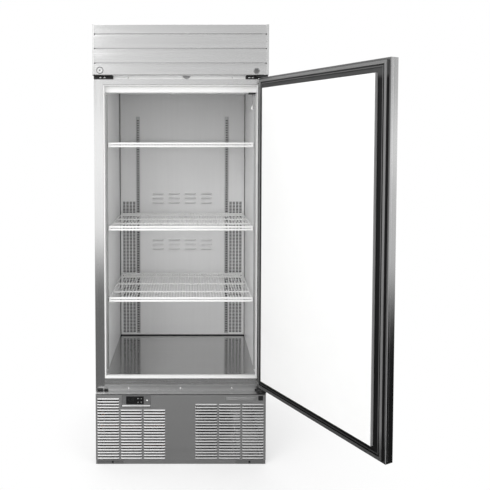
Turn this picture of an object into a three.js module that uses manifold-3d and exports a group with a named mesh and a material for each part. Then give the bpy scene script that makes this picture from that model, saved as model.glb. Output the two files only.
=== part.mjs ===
// One-section reach-in refrigerator with a hinged solid door and a condensing unit in its base.
// Millimetres. X runs to the right, Y from the front to the back, Z up from the floor.
// The origin is the centre of the base's underside. The door is modelled standing open.

import * as THREE from 'three';
import { mergeVertices } from 'three/addons/utils/BufferGeometryUtils.js';
import Module from 'manifold-3d';

const wasm = await Module();
wasm.setup();

// ---------- driving dimensions ----------

const WIDTH = 762;
const DEPTH = 735;
const HEIGHT = 1930;
const SHEET = 1.5;
const GAP = 0.3;

const SIDE = WIDTH / 2;
const FRONT = -DEPTH / 2;                 // plane of the header, the grille and the closed door
const BACK = DEPTH / 2;
const HEADER_DEPTH = 44.7;
const FACE = FRONT + HEADER_DEPTH;        // plane of the face frame that the gasket meets

const OPENING_HALF = 340.3;
const OPENING_BOTTOM = 367.8;
const OPENING_TOP = 1677.7;
const RETURN = 14;                        // depth of the folds around the opening

const BASE_RIM = 21;                      // height of the base pan's rim
const LEDGE = 313;                        // underside of the ledge over the grille
const HEADER_BOTTOM = 1714.7;
const SHELL_BOTTOM = BASE_RIM + GAP;
const SHELL_TOP = HEIGHT - SHEET - GAP;

const LINER_HALF = 336;
const LINER_SHEET = 1.1;
const ROOM_HALF = LINER_HALF - LINER_SHEET;
const LINER_FRONT = FACE + RETURN + 0.8;
const LINER_BACK = 312;
const LINER_BOTTOM = 378.2;
const LINER_TOP = 1870;
const FLOOR_TOP = 381.2;
const DUCT_FACE = 262;                    // front of the duct panel, the room's back wall
const CEILING = 1688;

const SHELF_TOPS = { top: 1423.5, middle: 1050, bottom: 727.5 };
const SHELF_HALF = 324;
const SHELF_FRONT = FACE + 30;
const SHELF_BACK = 250;

const PIN = { x: 365, y: FACE - 27 };     // the door's hinge line
const DOOR_HALF = 378;
const DOOR_BOTTOM = 336;
const DOOR_TOP = 1704;
const DOOR_OPEN_DEG = 118;
const GASKET_SPACE = 12;                  // between the face frame and the closed door's flange
const PAN_DEPTH = 32.4;
const GASKET_INSET = { outer: 8.5, inner: 47 };
const LINER_INSET = 48.7;
const LINER_RISE = 23.7;

const LOCK = { x: -347.2, z: 1733.7, radius: 12, cam: 40, cam_y: 12, cam_thick: 3, proud: 2 };
const HANDLE = { low: 900, high: 1200, width: 60, from_edge: 21, depth: 21 };

// ---------- shapes ----------

function block([x0, x1], [y0, y1], [z0, z1]) {
  const geometry = new THREE.BoxGeometry(x1 - x0, y1 - y0, z1 - z0);
  return geometry.translate((x0 + x1) / 2, (y0 + y1) / 2, (z0 + z1) / 2);
}

function outline(points) {
  return new THREE.Shape(points.map(([a, b]) => new THREE.Vector2(a, b)));
}

function extruded(points, depth) {
  return new THREE.ExtrudeGeometry(outline(points), { depth, bevelEnabled: false });
}

// An (x, y) outline pushed up along Z.
function prismZ(points, [z0, z1]) {
  return extruded(points, z1 - z0).translate(0, 0, z0);
}

// A (y, z) outline pushed along X.
function prismX(points, [x0, x1]) {
  const turn = new THREE.Matrix4().set(0, 0, 1, 0, 1, 0, 0, 0, 0, 1, 0, 0, 0, 0, 0, 1);
  return extruded(points, x1 - x0).applyMatrix4(turn).translate(x0, 0, 0);
}

function rodZ(radius, [x, y], [z0, z1], sides = 24) {
  const geometry = new THREE.CylinderGeometry(radius, radius, z1 - z0, sides);
  return geometry.rotateX(Math.PI / 2).translate(x, y, (z0 + z1) / 2);
}

function rodY(radius, [x, z], [y0, y1], sides = 24) {
  const geometry = new THREE.CylinderGeometry(radius, radius, y1 - y0, sides);
  return geometry.translate(x, (y0 + y1) / 2, z);
}

// A (radius, height) profile turned about the Z axis.
function turnedZ(profile, [x, y], sides = 24) {
  const points = profile.map(([r, h]) => new THREE.Vector2(r, h));
  return new THREE.LatheGeometry(points, sides).rotateX(Math.PI / 2).translate(x, y, 0);
}

function tube(points, radius, steps, sides = 8) {
  const path = new THREE.CatmullRomCurve3(points.map((p) => new THREE.Vector3(...p)));
  const section = new THREE.Shape();
  section.absarc(0, 0, radius, 0, 2 * Math.PI, false);
  const options = { steps, extrudePath: path, bevelEnabled: false, curveSegments: sides };
  return new THREE.ExtrudeGeometry(section, options);
}

function toSolid(geometry) {
  const bare = geometry.clone();
  bare.deleteAttribute('normal');
  bare.deleteAttribute('uv');
  const merged = mergeVertices(bare, 1e-4);
  const corners = merged.index.array;
  const kept = [];
  for (let i = 0; i < corners.length; i += 3) {
    const [a, b, c] = [corners[i], corners[i + 1], corners[i + 2]];
    if (a !== b && b !== c && c !== a) kept.push(a, b, c);
  }
  return new wasm.Manifold(new wasm.Mesh({
    numProp: 3,
    vertProperties: new Float32Array(merged.attributes.position.array),
    triVerts: new Uint32Array(kept),
  }));
}

function toGeometry(solid) {
  const mesh = solid.getMesh();
  const geometry = new THREE.BufferGeometry();
  geometry.setAttribute('position', new THREE.BufferAttribute(new Float32Array(mesh.vertProperties), 3));
  geometry.setIndex(new THREE.BufferAttribute(new Uint32Array(mesh.triVerts), 1));
  geometry.computeVertexNormals();
  return geometry;
}

function join(first, ...others) {
  return toGeometry(others.reduce((solid, other) => solid.add(toSolid(other)), toSolid(first)));
}

function cut(first, ...others) {
  return toGeometry(others.reduce((solid, other) => solid.subtract(toSolid(other)), toSolid(first)));
}

function common(first, second) {
  return toGeometry(toSolid(first).intersect(toSolid(second)));
}

// Fins side by side along X, standing on one thin spine so that the coil is a single body.
function finBlock([x0, x1], [y0, y1], [z0, z1], fins, spine) {
  const pitch = (x1 - x0) / (fins - 0.5);
  const points = [[x0, z0], [x1, z0]];
  for (let i = fins - 1; i >= 0; i -= 1) {
    const left = x0 + i * pitch;
    points.push([Math.min(left + pitch / 2, x1), z1], [left, z1]);
    if (i > 0) points.push([left, z0 + spine], [left - pitch / 2, z0 + spine]);
  }
  return extruded(points, y1 - y0).rotateX(Math.PI / 2).translate(0, y1, 0);
}

// A fan wheel about the Z axis: pitched blades on a hub.
function fanWheel(radius, hub, height, blades) {
  const pitch = THREE.MathUtils.degToRad(28);
  const chord = radius * 0.62;
  const rim = toSolid(rodZ(radius, [0, 0], [-height, height], 32));
  let wheel = toSolid(rodZ(hub, [0, 0], [-height / 2, height / 2], 20));
  for (let i = 0; i < blades; i += 1) {
    const blade = new THREE.BoxGeometry(radius * 1.05 - hub / 2, chord, 1.6);
    blade.rotateX(pitch).translate((radius * 1.05 + hub / 2) / 2, 0, 0);
    blade.rotateZ((2 * Math.PI * i) / blades);
    const slice = toSolid(blade).intersect(rim);
    wheel = wheel.add(slice);
  }
  const band = toSolid(rodZ(radius * 1.2, [0, 0], [-height / 2, height / 2], 12));
  return toGeometry(wheel.intersect(band));
}

// ---------- finishes ----------

const FINISHES = {
  stainless: { color: 0xc6c8c9, roughness: 0.32, metalness: 0.95 },
  galvanised: { color: 0xa9adb0, roughness: 0.5, metalness: 0.8 },
  aluminium: { color: 0xcfd1d2, roughness: 0.42, metalness: 0.75 },
  polished_floor: { color: 0xb4b6b8, roughness: 0.18, metalness: 0.95 },
  grey_grille: { color: 0x77797a, roughness: 0.45, metalness: 0.7 },
  white_plastic: { color: 0xf3f3f1, roughness: 0.4, metalness: 0 },
  white_wire: { color: 0xf1f1ef, roughness: 0.45, metalness: 0 },
  black_plastic: { color: 0x151617, roughness: 0.5, metalness: 0 },
  black_metal: { color: 0x101112, roughness: 0.45, metalness: 0.3 },
  black_rubber: { color: 0x1b1c1d, roughness: 0.65, metalness: 0 },
  grey_plastic: { color: 0x8b8d8f, roughness: 0.5, metalness: 0 },
  display: { color: 0x08090a, roughness: 0.15, metalness: 0 },
  foam: { color: 0xe6d9a8, roughness: 0.95, metalness: 0 },
  copper: { color: 0xb5744a, roughness: 0.35, metalness: 0.9 },
  chrome: { color: 0xd8dadb, roughness: 0.12, metalness: 1 },
};

function add(parent, name, finish, geometry) {
  const mesh = new THREE.Mesh(geometry, new THREE.MeshStandardMaterial(FINISHES[finish]));
  mesh.name = name;
  parent.add(mesh);
  return mesh;
}

// Mirrors a list of (x, y) points to the other side, keeping the direction round the outline.
function mirrored(points) {
  return points.map(([x, y]) => [-x, y]).reverse();
}

// ---------- cabinet shell ----------

const REAR_FLANGE = 20;
const LEDGE_LIP_TOP = 338;
const SENSOR = { x: 26, radius: 17, thick: 9, below_header: 0.7 };

function sideProfile(with_stile) {
  const inner = SIDE - SHEET;
  const rear = [
    [SIDE, BACK], [SIDE - REAR_FLANGE, BACK], [SIDE - REAR_FLANGE, BACK - SHEET], [inner, BACK - SHEET],
  ];
  if (!with_stile) return [[inner, FACE], [SIDE, FACE], ...rear];
  const fold = OPENING_HALF + SHEET;
  const stile = [
    [inner, FACE + SHEET], [fold, FACE + SHEET], [fold, FACE + RETURN],
    [OPENING_HALF, FACE + RETURN], [OPENING_HALF, FACE],
  ];
  return [...stile, [SIDE, FACE], ...rear];
}

function sidePanel(mirror) {
  const facing = (points) => (mirror ? mirrored(points) : points);
  const upper = prismZ(facing(sideProfile(true)), [LEDGE + GAP, SHELL_TOP]);
  const lower = prismZ(facing(sideProfile(false)), [SHELL_BOTTOM, LEDGE + 1]);
  return join(upper, lower);
}

function buildShell(root) {
  const inside = SIDE - SHEET - GAP;
  const behind = BACK - SHEET - GAP;
  add(root, 'side_panel_left', 'stainless', sidePanel(true));
  add(root, 'side_panel_right', 'stainless', sidePanel(false));
  add(root, 'top_panel', 'galvanised', block([-SIDE, SIDE], [FACE, BACK], [HEIGHT - SHEET, HEIGHT]));
  const rear = block([-inside, inside], [behind - SHEET, behind], [LEDGE + GAP, SHELL_TOP]);
  add(root, 'rear_panel', 'galvanised', rear);

  const foam_front = FACE + SHEET + GAP;
  const foam_back = behind - SHEET - GAP;
  const foam = block([-inside, inside], [foam_front, foam_back], [LEDGE + 2 * SHEET, SHELL_TOP]);
  const fold_room = OPENING_HALF + SHEET + GAP;
  const fold_y = [foam_front - 1, LINER_FRONT];
  const folds = block([-fold_room, fold_room], fold_y, [OPENING_BOTTOM - 2, OPENING_TOP + 2]);
  const stile_folds = [-fold_room, OPENING_HALF - GAP].map(
    (x) => block([x, x + SHEET + 2 * GAP], fold_y, [LEDGE, HEIGHT]),
  );
  const room = block(
    [-LINER_HALF - GAP, LINER_HALF + GAP],
    [LINER_FRONT - 1, LINER_BACK + GAP],
    [LINER_BOTTOM - GAP, LINER_TOP + GAP],
  );
  add(root, 'foam_insulation', 'foam', cut(foam, folds, ...stile_folds, room));

  const rail_half = OPENING_HALF - GAP;
  const top_rail = prismX([
    [FACE, OPENING_TOP], [FACE + RETURN, OPENING_TOP], [FACE + RETURN, OPENING_TOP + SHEET],
    [FACE + SHEET, OPENING_TOP + SHEET], [FACE + SHEET, SHELL_TOP], [FACE, SHELL_TOP],
  ], [-rail_half, rail_half]);
  add(root, 'face_rail_top', 'stainless', top_rail);
  const bottom_rail = prismX([
    [FACE, LEDGE + GAP], [FACE + SHEET, LEDGE + GAP], [FACE + SHEET, OPENING_BOTTOM - SHEET],
    [FACE + RETURN, OPENING_BOTTOM - SHEET], [FACE + RETURN, OPENING_BOTTOM], [FACE, OPENING_BOTTOM],
  ], [-rail_half, rail_half]);
  add(root, 'face_rail_bottom', 'stainless', bottom_rail);

  const ledge_half = GRILLE_HALF;
  const ledge = join(
    block([-ledge_half, ledge_half], [FRONT + SHEET, FACE - GAP], [LEDGE + GAP, LEDGE + GAP + SHEET]),
    block([-rail_half, rail_half], [FACE - GAP - SHEET, FACE - GAP], [LEDGE + GAP, LEDGE_LIP_TOP]),
  );
  add(root, 'ledge_plate', 'stainless', ledge);

  // The door sensor is a round cap whose top is cut off under the header.
  const { x, radius, thick, below_header } = SENSOR;
  const sensor = common(
    rodY(radius, [x, HEADER_BOTTOM + 2.5], [FACE - thick, FACE - GAP], 24),
    block(
      [x - 2 * radius, x + 2 * radius],
      [FACE - 2 * thick, FACE],
      [OPENING_TOP, HEADER_BOTTOM - below_header],
    ),
  );
  add(root, 'door_sensor', 'black_plastic', sensor);
}

// ---------- food compartment ----------

const PILASTER = {
  width: 19, depth: 7, wall: 1.2, front_y: -275, rear_x: 236, low: 397.2, front_top: 1636, rear_top: 1560,
};
const LOUVRE_COLUMNS = [-129.5, -43, 43, 129.5];
const LOUVRE_ROWS = [1147.4, 1123.7, 1099, 900, 875.6, 851.2];
const DUCT_SLOT = { half_x: 29.5, half_z: 3.5 };
const DUCT_RETURN_DEEP = 305;             // how far back the duct panel's side folds reach
const RETURN_GRILLE = { inner: 251, outer: 319, low: 397, high: 1104, columns: 4, rows: 5 };

const LAMP = { half: 333, wall: 3, y: [FACE + 22, FACE + 80], low: 1643.8 };
const PROBE = { at: [319, FACE + 52], bulb: 6, lead: 2.4, low: 1569 };

function pilasterProfile([x, y], [out_x, out_y]) {
  // A channel whose open side is against the wall; (out_x, out_y) points into the room.
  const { width, depth, wall } = PILASTER;
  const half = width / 2;
  const local = [
    [-half, 0], [-half, depth], [half, depth], [half, 0],
    [half - wall, 0], [half - wall, depth - wall], [-half + wall, depth - wall], [-half + wall, 0],
  ];
  return local.map(([a, b]) => [x + a * out_y + b * out_x, y - a * out_x + b * out_y]).reverse();
}

function ductPanel() {
  const half = ROOM_HALF - GAP;
  const deep = DUCT_RETURN_DEEP;
  const profile = [
    [-half, DUCT_FACE], [half, DUCT_FACE], [half, deep], [half - SHEET, deep],
    [half - SHEET, DUCT_FACE + SHEET], [-half + SHEET, DUCT_FACE + SHEET],
    [-half + SHEET, deep], [-half, deep],
  ];
  const through = [DUCT_FACE - 1, DUCT_FACE + SHEET + 1];
  const { half_x, half_z } = DUCT_SLOT;
  const slots = [];
  for (const z of LOUVRE_ROWS) {
    for (const x of LOUVRE_COLUMNS) {
      slots.push(block([x - half_x, x + half_x], through, [z - half_z, z + half_z]));
    }
  }
  const { inner, outer, low, high, columns, rows } = RETURN_GRILLE;
  const column_pitch = (outer - inner) / columns;
  const row_pitch = (high - low) / rows;
  for (const side of [-1, 1]) {
    for (let i = 0; i < columns; i += 1) {
      for (let j = 0; j < rows; j += 1) {
        const x = side * (inner + (i + 0.5) * column_pitch);
        const z = low + (j + 0.5) * row_pitch;
        slots.push(block([x - 4, x + 4], through, [z - row_pitch / 2 + 5, z + row_pitch / 2 - 5]));
      }
    }
  }
  return cut(prismZ(profile, [FLOOR_TOP + GAP, CEILING - GAP]), ...slots);
}

function shelf(top) {
  const rail = 22;
  const thick = 6;
  const columns = 16;
  const rows = 3;
  const border = 7;
  const bar = 8;
  const plate = block([-SHELF_HALF, SHELF_HALF], [SHELF_FRONT, SHELF_BACK], [top - thick, top]);
  const lip = block([-SHELF_HALF, SHELF_HALF], [SHELF_FRONT, SHELF_FRONT + 6], [top - rail, top - 1]);
  const column_pitch = (2 * (SHELF_HALF - border)) / columns;
  const row_pitch = (SHELF_BACK - SHELF_FRONT - 2 * border) / rows;
  const half_x = (column_pitch - bar) / 2;
  const half_y = (row_pitch - bar) / 2;
  const holes = [];
  for (let i = 0; i < columns; i += 1) {
    for (let j = 0; j < rows; j += 1) {
      const x = -SHELF_HALF + border + (i + 0.5) * column_pitch;
      const y = SHELF_FRONT + border + (j + 0.5) * row_pitch;
      const hole_z = [top - thick - 1, top + 1];
      holes.push(block([x - half_x, x + half_x], [y - half_y, y + half_y], hole_z));
    }
  }
  return cut(join(plate, lip), ...holes);
}

function buildRoom(root) {
  const shell = block([-LINER_HALF, LINER_HALF], [LINER_FRONT, LINER_BACK], [LINER_BOTTOM, LINER_TOP]);
  const hollow = block(
    [-ROOM_HALF, ROOM_HALF],
    [LINER_FRONT - 1, LINER_BACK - LINER_SHEET],
    [LINER_BOTTOM + LINER_SHEET, LINER_TOP - LINER_SHEET],
  );
  add(root, 'inner_liner', 'aluminium', cut(shell, hollow));

  const outer = OPENING_HALF - GAP;
  const strip_back = LINER_FRONT - GAP;
  const strip = cut(
    block([-outer, outer], [FACE + 0.5, strip_back], [OPENING_BOTTOM + GAP, OPENING_TOP - GAP]),
    block([-ROOM_HALF, ROOM_HALF], [FACE - 1, strip_back + 1], [FLOOR_TOP, OPENING_TOP - 5]),
  );
  add(root, 'breaker_strip', 'white_plastic', strip);

  const floor_half = ROOM_HALF - GAP;
  const floor_y = [LINER_FRONT, LINER_BACK - 4];
  const floor = block([-floor_half, floor_half], floor_y, [FLOOR_TOP - SHEET, FLOOR_TOP]);
  add(root, 'floor_plate', 'polished_floor', floor);
  add(root, 'duct_panel', 'aluminium', ductPanel());

  const wall = ROOM_HALF - GAP;
  const front_span = [PILASTER.low, PILASTER.front_top];
  const rear_span = [PILASTER.low, PILASTER.rear_top];
  for (const [side, sign] of [['left', -1], ['right', 1]]) {
    const front = pilasterProfile([sign * wall, PILASTER.front_y], [-sign, 0]);
    add(root, `pilaster_front_${side}`, 'stainless', prismZ(front, front_span));
    const rear = pilasterProfile([sign * PILASTER.rear_x, DUCT_FACE - GAP], [0, -1]);
    add(root, `pilaster_rear_${side}`, 'stainless', prismZ(rear, rear_span));
  }

  for (const [place, top] of Object.entries(SHELF_TOPS)) {
    const body = new THREE.Group();
    root.add(body);
    add(body, `shelf_${place}`, 'white_wire', shelf(top));
  }

  // The lamp housing is a box open to the back, across the top of the opening.
  const { half, wall: lamp_wall, y: lamp_y, low } = LAMP;
  const lamp = cut(
    block([-half, half], lamp_y, [low, CEILING - GAP]),
    block(
      [-half + lamp_wall, half - lamp_wall],
      [lamp_y[0] + lamp_wall, lamp_y[1] + 1],
      [low + lamp_wall, CEILING - lamp_wall],
    ),
  );
  add(root, 'light_fixture', 'white_plastic', lamp);
  const clip_z = [low - GAP - 4, low - GAP];
  const probe = join(
    rodZ(PROBE.bulb, PROBE.at, [PROBE.low, PROBE.low + 13], 12),
    rodZ(PROBE.lead, PROBE.at, [PROBE.low + 12, clip_z[1]], 12),
    block([PROBE.at[0] - 16, PROBE.at[0] + 12], [PROBE.at[1] - 8, PROBE.at[1] + 8], clip_z),
  );
  add(root, 'temperature_probe', 'white_plastic', probe);
}

// ---------- evaporator above the ceiling ----------

const EVAPORATOR = { x: [-270, 270], y: [20, 220], z: [1705, 1845], fins: 20, spine: 8 };
const ROOM_FAN = { at: [0, -120], z: 1712, blade: 92, hole: 100, hub: 24, height: 22 };
const ROOM_MOTOR = { radius: 38, z: [1728, 1784], bar_z: [1776, 1780], legs: 128, leg_half: 6 };

function buildEvaporator(root) {
  const fan = ROOM_FAN.at;
  const half = ROOM_HALF - GAP;
  const ceiling = cut(
    block([-half, half], [LINER_FRONT + GAP, DUCT_FACE + 6], [CEILING, CEILING + SHEET]),
    rodZ(ROOM_FAN.hole, fan, [CEILING - 1, CEILING + 3], 32),
  );
  add(root, 'evaporator_cover', 'aluminium', ceiling);
  const { x, y, z, fins, spine } = EVAPORATOR;
  add(root, 'evaporator_coil', 'aluminium', finBlock(x, y, z, fins, spine));
  const { radius, bar_z, legs, leg_half } = ROOM_MOTOR;
  const leg_y = [fan[1] - leg_half, fan[1] + leg_half];
  const motor = join(
    rodZ(radius, fan, ROOM_MOTOR.z, 20),
    block([-legs - leg_half, legs + leg_half], leg_y, bar_z),
    ...[-legs, legs].map(
      (at) => block([at - leg_half, at + leg_half], leg_y, [CEILING + SHEET + GAP, bar_z[0] + 2]),
    ),
  );
  add(root, 'evaporator_fan_motor', 'black_metal', motor);
  const wheel = fanWheel(ROOM_FAN.blade, ROOM_FAN.hub, ROOM_FAN.height, 5);
  const spin = new THREE.Group();
  spin.position.set(fan[0], fan[1], ROOM_FAN.z);
  root.add(spin);
  add(spin, 'evaporator_fan_blade', 'black_plastic', wheel);
}

// ---------- header ----------

const CAP_WIDTH = 11;
const GROOVES = [1764, 1826.4, 1888.4];
const GROOVE = { depth: 3, half: 2.4 };

function headerPanel() {
  const rear = FACE - GAP;
  const skin = FRONT + SHEET;
  const bottom = HEADER_BOTTOM;
  const outer = [[rear, bottom], [FRONT, bottom]];
  const inner = [[rear, bottom + SHEET], [skin, bottom + SHEET]];
  for (const z of GROOVES) {
    const { depth, half } = GROOVE;
    outer.push([FRONT, z - half], [FRONT + depth, z - half / 3]);
    outer.push([FRONT + depth, z + half / 3], [FRONT, z + half]);
    inner.push([skin, z - half - 1], [skin + depth, z - half / 3 - 1]);
    inner.push([skin + depth, z + half / 3 + 1], [skin, z + half + 1]);
  }
  outer.push([FRONT, HEIGHT], [rear, HEIGHT]);
  inner.push([skin, HEIGHT - SHEET], [rear, HEIGHT - SHEET]);
  const half_width = SIDE - CAP_WIDTH - GAP;
  const tray = prismX([...outer, ...inner.reverse()], [-half_width, half_width]);
  const cam_slot = block(
    [LOCK.x - 10, LOCK.x + LOCK.cam],
    [FRONT + LOCK.cam_y - 2, FRONT + LOCK.cam_y + 5],
    [bottom - 1, bottom + 3],
  );
  const lock_hole = rodY(LOCK.radius + 2 * GAP, [LOCK.x, LOCK.z], [FRONT - 1, FRONT + 4], 24);
  return cut(tray, lock_hole, cam_slot);
}

function buildHeader(root) {
  add(root, 'header_panel', 'stainless', headerPanel());
  const cap = [
    [SIDE - CAP_WIDTH, FRONT], [SIDE, FRONT], [SIDE, FACE - GAP], [SIDE - SHEET, FACE - GAP],
    [SIDE - SHEET, FRONT + SHEET], [SIDE - CAP_WIDTH, FRONT + SHEET],
  ];
  add(root, 'header_cap_right', 'stainless', prismZ(cap, [HEADER_BOTTOM, HEIGHT]));
  add(root, 'header_cap_left', 'stainless', prismZ(mirrored(cap), [HEADER_BOTTOM, HEIGHT]));

  const lock = new THREE.Group();
  root.add(lock);
  const centre = [LOCK.x, LOCK.z];
  const cam_y = [FRONT + LOCK.cam_y, FRONT + LOCK.cam_y + LOCK.cam_thick];
  const key_slot = block([LOCK.x - 1, LOCK.x + 1], [FRONT - 4, FRONT + 6], [LOCK.z - 5, LOCK.z + 5]);
  const barrel = rodY(LOCK.radius, centre, [FRONT - LOCK.proud, cam_y[0] - 0.4], 24);
  add(lock, 'lock_cylinder', 'chrome', cut(barrel, key_slot));
  const cam = join(
    rodY(9, centre, cam_y, 16),
    block([LOCK.x, LOCK.x + LOCK.cam], cam_y, [LOCK.z - 6, LOCK.z + 6]),
  );
  add(lock, 'lock_cam', 'black_metal', cam);
}

// ---------- hinges ----------

const ARM = { low: 1707, high: 1711 };
const FOOT_ARM = { low: 316.5, high: 320.5, spacer: 332.5 };
const HINGE_PIN_RADIUS = 4;

function buildHinges(root) {
  const plate = [FACE - GAP - 4, FACE - GAP];
  const arm_y = [PIN.y - 11, FACE - GAP];
  const at = [PIN.x, PIN.y];
  const top = join(
    block([285, 354], plate, [1699.5, 1713.5]),
    block([330, 378], arm_y, [ARM.low, ARM.high]),
    rodZ(HINGE_PIN_RADIUS, at, [1690, ARM.high + 1.5]),
  );
  add(root, 'hinge_bracket_top', 'black_metal', top);
  const ledge_top = LEDGE + GAP + SHEET;
  const lip_front = FACE - GAP - SHEET - GAP;
  const bottom = join(
    block([330, 378], [lip_front - 4, lip_front], [ledge_top + GAP, FOOT_ARM.high]),
    block([336, 378], [PIN.y - 11, lip_front], [FOOT_ARM.low, FOOT_ARM.high]),
    rodZ(HINGE_PIN_RADIUS, at, [FOOT_ARM.low + 1, 350]),
    rodZ(6.5, at, [FOOT_ARM.high - 1, FOOT_ARM.spacer]),
  );
  add(root, 'hinge_bracket_bottom', 'black_metal', bottom);
}

// ---------- door, drawn closed about its pin, then turned open ----------

const FLANGE = FACE - GASKET_SPACE - PIN.y;          // the pan's inner flange, from the pin
const OUTER = FLANGE - PAN_DEPTH;                    // the door's outer face
const PAN_LIP = 8;
const TRIM_DEPTH = 3.5;
const LOCK_SLOT = { half_x: 9, half_y: 4, low: 1688 };
const BUSH_HOLE = { radius: 7.4, deep: 24 };
const CUP = { flange: 4, front: 1.2, wall: 1.5, mouth: 20 };
const EDGE = { free: -DOOR_HALF - PIN.x, hinge: DOOR_HALF - PIN.x };

// A block set in from the door's edges by the same amount all round.
function doorBlock(inset, [y0, y1]) {
  return block([EDGE.free + inset, EDGE.hinge - inset], [y0, y1], [DOOR_BOTTOM + inset, DOOR_TOP - inset]);
}

function buildDoor(root) {
  const door = new THREE.Group();
  door.position.set(PIN.x, PIN.y, 0);
  door.rotation.z = THREE.MathUtils.degToRad(DOOR_OPEN_DEG);
  root.add(door);

  const cup_x = [EDGE.free + HANDLE.from_edge, EDGE.free + HANDLE.from_edge + HANDLE.width];
  const cup_z = [HANDLE.low, HANDLE.high];
  const grow = ([low, high], by) => [low - by, high + by];
  const lock_x = LOCK.x - PIN.x;
  const lock_y = FRONT + 13.5 - PIN.y;
  const bush_top = rodZ(BUSH_HOLE.radius, [0, 0], [DOOR_TOP - BUSH_HOLE.deep, DOOR_TOP + 1]);
  const bush_bottom = rodZ(BUSH_HOLE.radius, [0, 0], [DOOR_BOTTOM - 1, DOOR_BOTTOM + BUSH_HOLE.deep]);
  const lock_slot = block(
    [lock_x - LOCK_SLOT.half_x, lock_x + LOCK_SLOT.half_x],
    [lock_y - LOCK_SLOT.half_y, lock_y + LOCK_SLOT.half_y],
    [LOCK_SLOT.low, DOOR_TOP + 1],
  );

  const pan = cut(
    doorBlock(0, [OUTER, FLANGE]),
    doorBlock(SHEET, [OUTER + SHEET, FLANGE - SHEET]),
    doorBlock(PAN_LIP, [FLANGE - SHEET - 1, FLANGE + 1]),
    block(grow(cup_x, GAP), [OUTER - 1, OUTER + 2], grow(cup_z, GAP)),
    bush_top, bush_bottom, lock_slot,
  );
  add(door, 'door_pan', 'stainless', pan);

  const trim_back = FLANGE - TRIM_DEPTH;
  const foam_top = trim_back - 2 - 2 * GAP;
  const raised = LINER_INSET + 2 + GAP;
  const foam = cut(
    join(
      doorBlock(SHEET + GAP, [OUTER + SHEET + GAP, foam_top]),
      doorBlock(raised, [foam_top - 1, FLANGE + LINER_RISE - 2 - GAP]),
    ),
    block(grow(cup_x, 2 * GAP), [OUTER, OUTER + HANDLE.depth + 2 + GAP], grow(cup_z, 2 * GAP)),
    bush_top, bush_bottom, lock_slot,
  );
  add(door, 'door_foam', 'foam', foam);

  const trim = cut(
    doorBlock(PAN_LIP + GAP, [trim_back, FLANGE]),
    doorBlock(LINER_INSET - GAP, [trim_back - 1, FLANGE + 1]),
  );
  add(door, 'door_trim_frame', 'black_plastic', trim);

  const sheet_back = trim_back - GAP;
  const liner = cut(
    join(
      doorBlock(20, [sheet_back - 2, sheet_back]),
      doorBlock(LINER_INSET, [sheet_back - 2, FLANGE + LINER_RISE]),
    ),
    doorBlock(LINER_INSET + 2, [sheet_back - 3, FLANGE + LINER_RISE - 2]),
  );
  add(door, 'door_inner_liner', 'white_plastic', liner);

  const gasket_y = [FLANGE + GAP, FLANGE + GASKET_SPACE - 0.4];
  const gasket = cut(
    doorBlock(GASKET_INSET.outer, gasket_y),
    doorBlock(GASKET_INSET.inner, [gasket_y[0] - 1, gasket_y[1] + 1]),
  );
  add(door, 'door_gasket', 'black_rubber', gasket);

  // The handle is a cup let into the door's face, its mouth half covered by a finger lip.
  const { flange, wall, mouth } = CUP;
  const cup_front = OUTER - GAP - CUP.front;
  const cup_back = OUTER + HANDLE.depth;
  const cup = cut(
    join(
      block(grow(cup_x, flange), [cup_front, OUTER - GAP], grow(cup_z, flange)),
      block(cup_x, [cup_front, cup_back], cup_z),
    ),
    block(grow(cup_x, -wall), [cup_front + 2.5, cup_back - wall], grow(cup_z, -wall)),
    block([cup_x[0] + mouth, cup_x[1] - wall], [cup_front - 1, cup_front + 3], grow(cup_z, -wall)),
  );
  add(door, 'door_handle', 'stainless', cup);

  const bushing = (z, up) => {
    const at = (h) => z + up * h;
    const profile = [
      [4.5, at(-10)], [7, at(-10)], [7, at(GAP)], [10, at(GAP)], [10, at(1.5)], [4.5, at(1.5)],
    ];
    profile.push(profile[0]);
    return turnedZ(up > 0 ? profile : profile.reverse(), [0, 0]);
  };
  add(door, 'door_bushing_top', 'grey_plastic', bushing(DOOR_TOP, 1));
  add(door, 'door_bushing_bottom', 'grey_plastic', bushing(DOOR_BOTTOM, -1));
}

// ---------- base and grille ----------

const GRILLE_HALF = 376.5;
const BASE_HALF = 375;
const LOUVRE = { pitch: 12.7, slot: 6.4, low: 24.6 };
const LOUVRE_FIELDS = [
  { x: [-368, -272], rows: 22 }, { x: [-265, -172], rows: 18 }, { x: [-163.5, -69], rows: 18 },
  { x: [64.5, 161.5], rows: 20 }, { x: [168.5, 263.5], rows: 20 }, { x: [271.5, 366], rows: 20 },
];
const BEZEL = { x: [-260, -132], z: [257, 310.5], proud: 2.2 };
const WINDOW = { x: [-240.2, -163.2], z: [270.5, 305.5] };
const KEYS = {
  down: [-188, 280], set: [-188, 296], power: [-174, 280], up: [-174, 296],
};
const KEY = { half_x: 4.2, half_z: 3.2, pocket: 4, proud: 0.8, travel_room: 1.4 };
const CONTROLLER_DEPTH = 26;

const REAR_VENT = { columns: [-250, 0, 250], half: 95, rows: 8, low: 120, tall: 8, pitch: 22 };
const INLET = { at: [300, 70], radius: 13.4, flange: 18, bore: 5 };

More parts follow.
